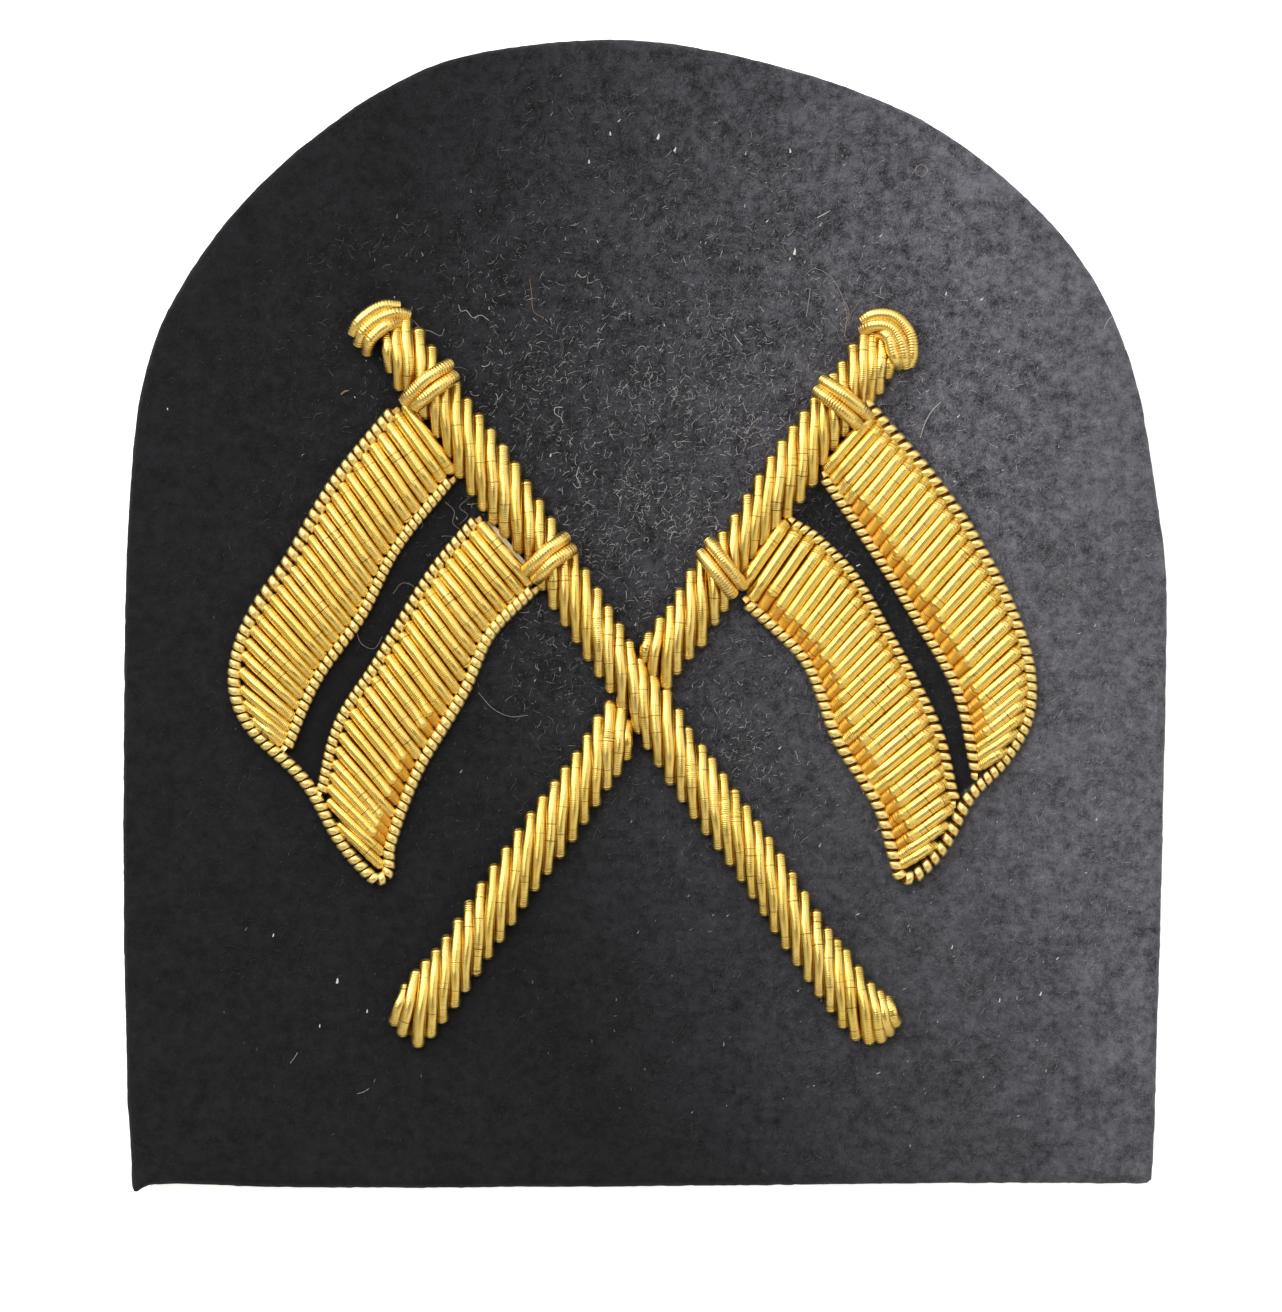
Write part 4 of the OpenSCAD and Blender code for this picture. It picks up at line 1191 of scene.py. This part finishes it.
def lay(line, pale, warm):
    """Adds a line of fibre: x, y, z and radius at each of its points."""
    first = len(verts)
    for x, y, z, radius in line:
        verts.append((x * MM, y * MM, z * MM))
        widths.append(radius * MM)
        pales.append(pale)
        warms.append(warm)
    edges.extend((k, k + 1) for k in range(first, len(verts) - 1))


def fibre(x, y, heading, length, turn, lift, girth, pale, warm, points):
    """One fibre that starts at x, y on the felt, turns as it goes and rises off it in the middle."""
    line = []
    arch_from, arch_share = FIBRE_ARCH
    for k in range(points):
        t = k / (points - 1)
        z = FELT_THICK - FIBRE_SUNK + lift * math.sin(math.pi * (arch_from + t * arch_share))
        line.append((x, y, z, girth / 2 * (1 - 0.5 * t)))
        x += math.cos(heading) * length / (points - 1)
        y += math.sin(heading) * length / (points - 1)
        heading += turn / (points - 1)
    lay(line, pale, warm)


def fibre_piece(name, sides):
    """The fibres since the last piece, as one mesh."""
    values = {"width": widths, "pale": pales, "warm": warms}
    worked(name, with_values(name, verts, edges, values), fibre_work,
           {"Sides": sides, "Material": wool_fibre})
    for column in (verts, edges, widths, pales, warms):
        column.clear()


for part in range(NAP_PIECES):
    for _ in range(NAP_FIBRES // NAP_PIECES):
        while True:
            x, y = fibre_picks.uniform(*NAP_ACROSS), fibre_picks.uniform(*NAP_UPWARD)
            if cell(x, y) in covered or fibre_picks.random() > rubbed(x, y):
                continue
            if inside_edge(x, y, NAP_MARGIN):
                break
        # Most fibres are nearly as dark as the felt and a few are pale, more where it is rubbed up and
        # where the painted sheen lightens the felt
        leaning = x + SHEEN_LEAN * y - SHEEN_BEND * y * y
        dust_and_sheen = clipped(leaning / SHEEN_AND_DUST_WIDTH + SHEEN_MIDDLE) ** SHEEN_POWER
        raised = max(fading(x, y, *PALE_ABOVE), BESIDE_SHARE * fading(x, y, *PALE_BESIDE))
        shade = (0.02 + 0.14 * dust_and_sheen + 0.42 * raised) * (0.4 + 4.6 * fibre_picks.random() ** 4)
        # Between a flag's two stripes the fibres are darkened: painted shade
        if in_gap(x, y):
            shade *= GAP_FIBRE_PALENESS
        heading = fibre_picks.gauss(*NAP_HEADING)
        if fibre_picks.random() < NAP_REVERSED:
            heading += math.pi
        length = NAP_SHORTEST + NAP_LONGER * fibre_picks.random() ** 2
        turn, lift = fibre_picks.gauss(0, NAP_TURN), fibre_picks.uniform(*NAP_LIFT)
        girth = fibre_picks.uniform(*FIBRE_GIRTH)
        fibre(x, y, heading, length, turn, lift, girth, shade, 0.0, NAP_POINTS)
    fibre_piece("felt_nap_%d" % (part + 1), NAP_SIDES)

# Hairs, thread ends and lint caught in the nap: the places they pass, girth, paleness and warmth
STRAY_HAIRS = [
    ([(-8.65, 25.3), (-8.5, 24.2), (-8.35, 22.9), (-7.6, 22.4)], 0.06, 0.45, 1),
    ([(12, 25.6), (12.7, 26.1), (13.9, 25.5), (14.65, 24.3), (15.1, 22.7), (14.95, 21)], 0.04, 0.6, 0.45),
    ([(12.4, 24.6), (12.25, 23.5), (12.1, 22.5)], 0.045, 0.65, 0),
    ([(14.8, 23.9), (15.3, 22.9), (15.1, 21.9), (15, 21), (15.5, 20.4)], 0.04, 0.6, 0.45),
    ([(16.3, 23.9), (15.5, 22.8), (15.2, 21.8)], 0.035, 0.6, 0.4),
    ([(13.8, 22), (14.3, 21.6), (14.6, 20.9), (14.9, 20.4)], 0.035, 0.5, 0.45),
    ([(-6.2, 15.7), (-6.75, 15.65), (-6.75, 15.2), (-6.3, 14.9), (-6.15, 14.5)], 0.05, 1, 0),
    ([(-14, 23.4), (-13.8, 22.9), (-13.4, 22.95), (-12.9, 22.4), (-12.3, 22.6), (-11.7, 22.2)],
     0.045, 0.85, 0),
    ([(-17.4, 22.25), (-16.8, 21.6), (-16.05, 21.37), (-15.3, 21.05), (-15.05, 21.6)], 0.035, 0.7, 0),
    ([(-22.8, 16.65), (-22.55, 16.85), (-22.25, 16.95)], 0.1, 0.8, 1),
    ([(-12.5, -5.7), (-11.4, -6.9), (-10.1, -7.5), (-8.8, -7.4)], 0.04, 0.55, 0),
    ([(-10.6, 9.9), (-10.4, 8.6), (-10.9, 7.4), (-11.8, 6.9)], 0.035, 0.55, 0),
    ([(-21.7, -0.1), (-21.6, -1.2), (-21.2, -2.1), (-20.3, -2.4), (-19.7, -1.5)], 0.04, 0.5, 0.4),
    ([(-18.9, 1.7), (-18.2, 2.5), (-17.3, 2.2), (-17.5, 1.3)], 0.04, 0.5, 0.4),
    ([(-15, 8.6), (-14.3, 7.9), (-14.4, 7), (-13.7, 6.4)], 0.04, 0.5, 0.2),
    ([(-13.2, 8.9), (-13.9, 8.2), (-13.3, 7.6), (-13.9, 6.9)], 0.035, 0.5, 0.2),
    ([(-4.95, 11.25), (-5.15, 10.5), (-4.85, 10), (-5.05, 9.6)], 0.045, 0.8, 0),
    ([(-5.4, 10), (-5.1, 9.65), (-4.8, 9.7)], 0.045, 0.85, 0),
    ([(20.65, 13.4), (21, 14.5), (21.5, 15.4), (22.2, 16.1)], 0.055, 1, 0),
    ([(34.4, 20.9), (34.5, 21.8), (35, 22.5), (35.7, 22.6)], 0.04, 0.85, 0),
    ([(20, 33.2), (20.7, 33.9), (21.2, 33.5), (20.8, 33), (20.3, 33.3), (20.5, 34.2)], 0.035, 0.75, 0.4),
    ([(12.9, 29.9), (13.4, 30.15), (13.9, 30.45)], 0.07, 0.95, 0),
    ([(6.7, 21.1), (7, 20.7), (7.3, 20.35)], 0.055, 0.9, 0),
    ([(-26.6, -33.5), (-26.3, -33.1), (-26.05, -32.7)], 0.055, 0.55, 0),
    ([(-21.6, -35.8), (-21.1, -35.65), (-20.7, -35.4)], 0.05, 0.55, 0),
    ([(18.4, -15.9), (17.8, -15.85), (17.25, -16.1)], 0.09, 0.95, 0.8),
]
# x, y and size of each speck of lint
LINT_SPECKS = [
    (25.3, 33.4, 0.26), (11.2, 27.15, 0.42), (10.85, 26.75, 0.2), (-35.8, 15.5, 0.18), (-23.1, -27.5, 0.36),
    (-20.85, -29.7, 0.22), (-24.4, -30.8, 0.22), (-35.8, -33, 0.2), (-27.9, -24, 0.22), (-7.1, 12, 0.24),
    (-21.75, 16.4, 0.14), (-18.8, 23.9, 0.12), (14.35, 22.95, 0.16), (-20.9, 19.15, 0.12), (0.95, 35.8, 0.4),
    (10.9, 34.8, 0.28), (-2.6, 36.1, 0.26), (2.2, 34.9, 0.3), (-4.2, 34, 0.26),
]
HAIR_STEP = 0.14
HAIR_LIE = 0.02
HAIR_LIFT = (0.15, 0.35)
HAIR_GIRTH_SHARE = 0.42
HAIR_PALE_SHARE = 0.85
LINT_SIDES = 4
# Curled fibres round a place above the crossing: middle and spread across and upwards, and their sizes
CURLS = 260
CURLS_ACROSS = (0, 8)
CURLS_UPWARD = (12, 7)
CURL_LENGTH = (0.35, 1.1)
CURL_TURN = (0, 2.2)
CURL_LIFT = (0.08, 0.3)
CURL_GIRTH = (0.024, 0.038)
CURL_PALE = (0.25, 1)
CURL_POINTS = 7
# Fine dust, more and paler towards the upper right
DUST_SPECKS = 1500
DUST_ACROSS = (-37, 37)
DUST_UPWARD = (-41, 41)
for route, girth, pale, warm in STRAY_HAIRS:
    line = smooth_line(route, HAIR_STEP)
    lift = fibre_picks.uniform(*HAIR_LIFT)
    raised_line = []
    for k, (x, y) in enumerate(line):
        z = FELT_THICK + HAIR_LIE + lift * math.sin(math.pi * (k / (len(line) - 1))) ** 2
        raised_line.append((x, y, z, girth * HAIR_GIRTH_SHARE))
    lay(raised_line, pale * HAIR_PALE_SHARE, warm)
for x, y, size in LINT_SPECKS:
    fibre(x, y, fibre_picks.uniform(1, 2), size, 0.4, 0.08, size * 0.6, 0.9, 0.1, 4)
for _ in range(CURLS):
    x, y = fibre_picks.gauss(*CURLS_ACROSS), fibre_picks.gauss(*CURLS_UPWARD)
    if cell(x, y) in covered or not inside_edge(x, y, CURLS_MARGIN):
        continue
    heading, length = fibre_picks.uniform(0, 2 * math.pi), fibre_picks.uniform(*CURL_LENGTH)
    turn, lift = fibre_picks.gauss(*CURL_TURN), fibre_picks.uniform(*CURL_LIFT)
    girth, pale = fibre_picks.uniform(*CURL_GIRTH), fibre_picks.uniform(*CURL_PALE)
    fibre(x, y, heading, length, turn, lift, girth, pale, 0.0, CURL_POINTS)
for _ in range(DUST_SPECKS):
    x, y = fibre_picks.uniform(*DUST_ACROSS), fibre_picks.uniform(*DUST_UPWARD)
    dust_and_sheen = clipped((x + 0.26 * y) / SHEEN_AND_DUST_WIDTH + 0.5)
    if cell(x, y) in covered or not inside_edge(x, y, DUST_MARGIN):
        continue
    if fibre_picks.random() < 0.15 + 0.85 * dust_and_sheen:
        size = 0.08 + 0.26 * fibre_picks.random() ** 2
        heading = fibre_picks.gauss(1.25 - 0.4 * dust_and_sheen, 0.5)
        pale = (0.1 + 0.35 * dust_and_sheen) * (0.6 + 1.6 * fibre_picks.random() ** 3)
        fibre(x, y, heading, size, 0.4, 0.04, size * 0.4 + 0.02, pale, 0.05, 3)
fibre_piece("felt_lint", LINT_SIDES)

# The table: a plain white surface that the badge lies on, so that only its soft shade shows round the felt.
# It isn't part of the badge.
TABLE_SIZE = 4.0
TABLE_Z = -0.05
TABLE_GLOW = 0.7
table_white, spot, shader = new_material(
    "table_white", Roughness=0.9, Emission_Color=(1, 1, 1, 1), Emission_Strength=TABLE_GLOW)
grain = ((spot.noise(3, 2) - 0.5) * 0.5 + 0.5).clamped()
grain.tint(rgb(236, 236, 236), rgb(244, 244, 244)).into(shader, "Base Color")
half, low = TABLE_SIZE / 2, TABLE_Z * MM
corners = [(-half, -half, low), (half, -half, low), (half, half, low), (-half, half, low)]
top = bpy.data.meshes.new("table_top")
top.from_pydata(corners, [], [(0, 1, 2, 3)])
top.materials.append(table_white)
table = in_scene("table_top", top)

# Soft studio light: three large panels in an arc beyond the badge, brightest at the upper left with a
# narrow strip before it, three low dim ones on the near side, and a dim warm dome that leaves the middle of
# each tube darker, as the photo has it.
PANEL_DISTANCE = 0.42
PANEL_TINT = (1, 0.985, 0.96)
DOME_TINT = (1, 0.9, 0.7, 1)
DOME_STRENGTH = 0.33
SOFT_BOXES = [
    # name, bearing and tilt from straight up in degrees, width and height, brightness
    ("panel_upper_left", 134, 47, 0.36, 0.54, 2.3),
    ("strip_upper_left", 134, 44, 0.05, 0.5, 3.0),
    ("panel_beyond", 78, 47, 0.31, 0.5, 0.94),
    ("panel_right", 20, 49, 0.31, 0.46, 0.82),
    ("panel_lower_right", -42, 60, 0.42, 0.26, 0.6),
    ("panel_before", -98, 60, 0.42, 0.26, 0.55),
    ("panel_lower_left", -150, 60, 0.42, 0.26, 0.2),
]
for name, bearing, tilt, width, height, brightness in SOFT_BOXES:
    lamp = bpy.data.lights.new(name, "AREA")
    lamp.shape = "RECTANGLE"
    lamp.size, lamp.size_y = width, height
    lamp.energy = brightness * math.pi * width * height
    lamp.color = PANEL_TINT
    bearing, tilt = math.radians(bearing), math.radians(tilt)
    toward = Vector((
        math.sin(tilt) * math.cos(bearing), math.sin(tilt) * math.sin(bearing), math.cos(tilt)))
    box = in_scene(name, lamp)
    box.location = toward * PANEL_DISTANCE
    box.rotation_euler = (-toward).to_track_quat("-Z", "Y").to_euler()
world = bpy.data.worlds.new("studio")
world.use_nodes = True
dome = world.node_tree.nodes["Background"]
dome.inputs["Color"].default_value = DOME_TINT
dome.inputs["Strength"].default_value = DOME_STRENGTH
bpy.context.scene.world = world
bpy.context.scene.view_settings.view_transform = "Standard"

# The camera looks straight down on the badge, as in the photo, from 60 cm above the felt. Its view is as
# high as the whole picture at the badge's scale.
PICTURE_HEIGHT = 1312
MM_PER_PIXEL = 0.075
PICTURE_MIDDLE = (-0.3, -2.96)
CAMERA_HEIGHT = 600
SENSOR_WIDTH = 36
camera_data = bpy.data.cameras.new("camera")
camera_data.sensor_width = SENSOR_WIDTH
camera_data.lens = SENSOR_WIDTH * CAMERA_HEIGHT / (PICTURE_HEIGHT * MM_PER_PIXEL)
camera_data.clip_start = 0.01
camera = in_scene("camera", camera_data)
camera.location = [v * MM for v in (*PICTURE_MIDDLE, FELT_THICK + CAMERA_HEIGHT)]
bpy.context.scene.camera = camera
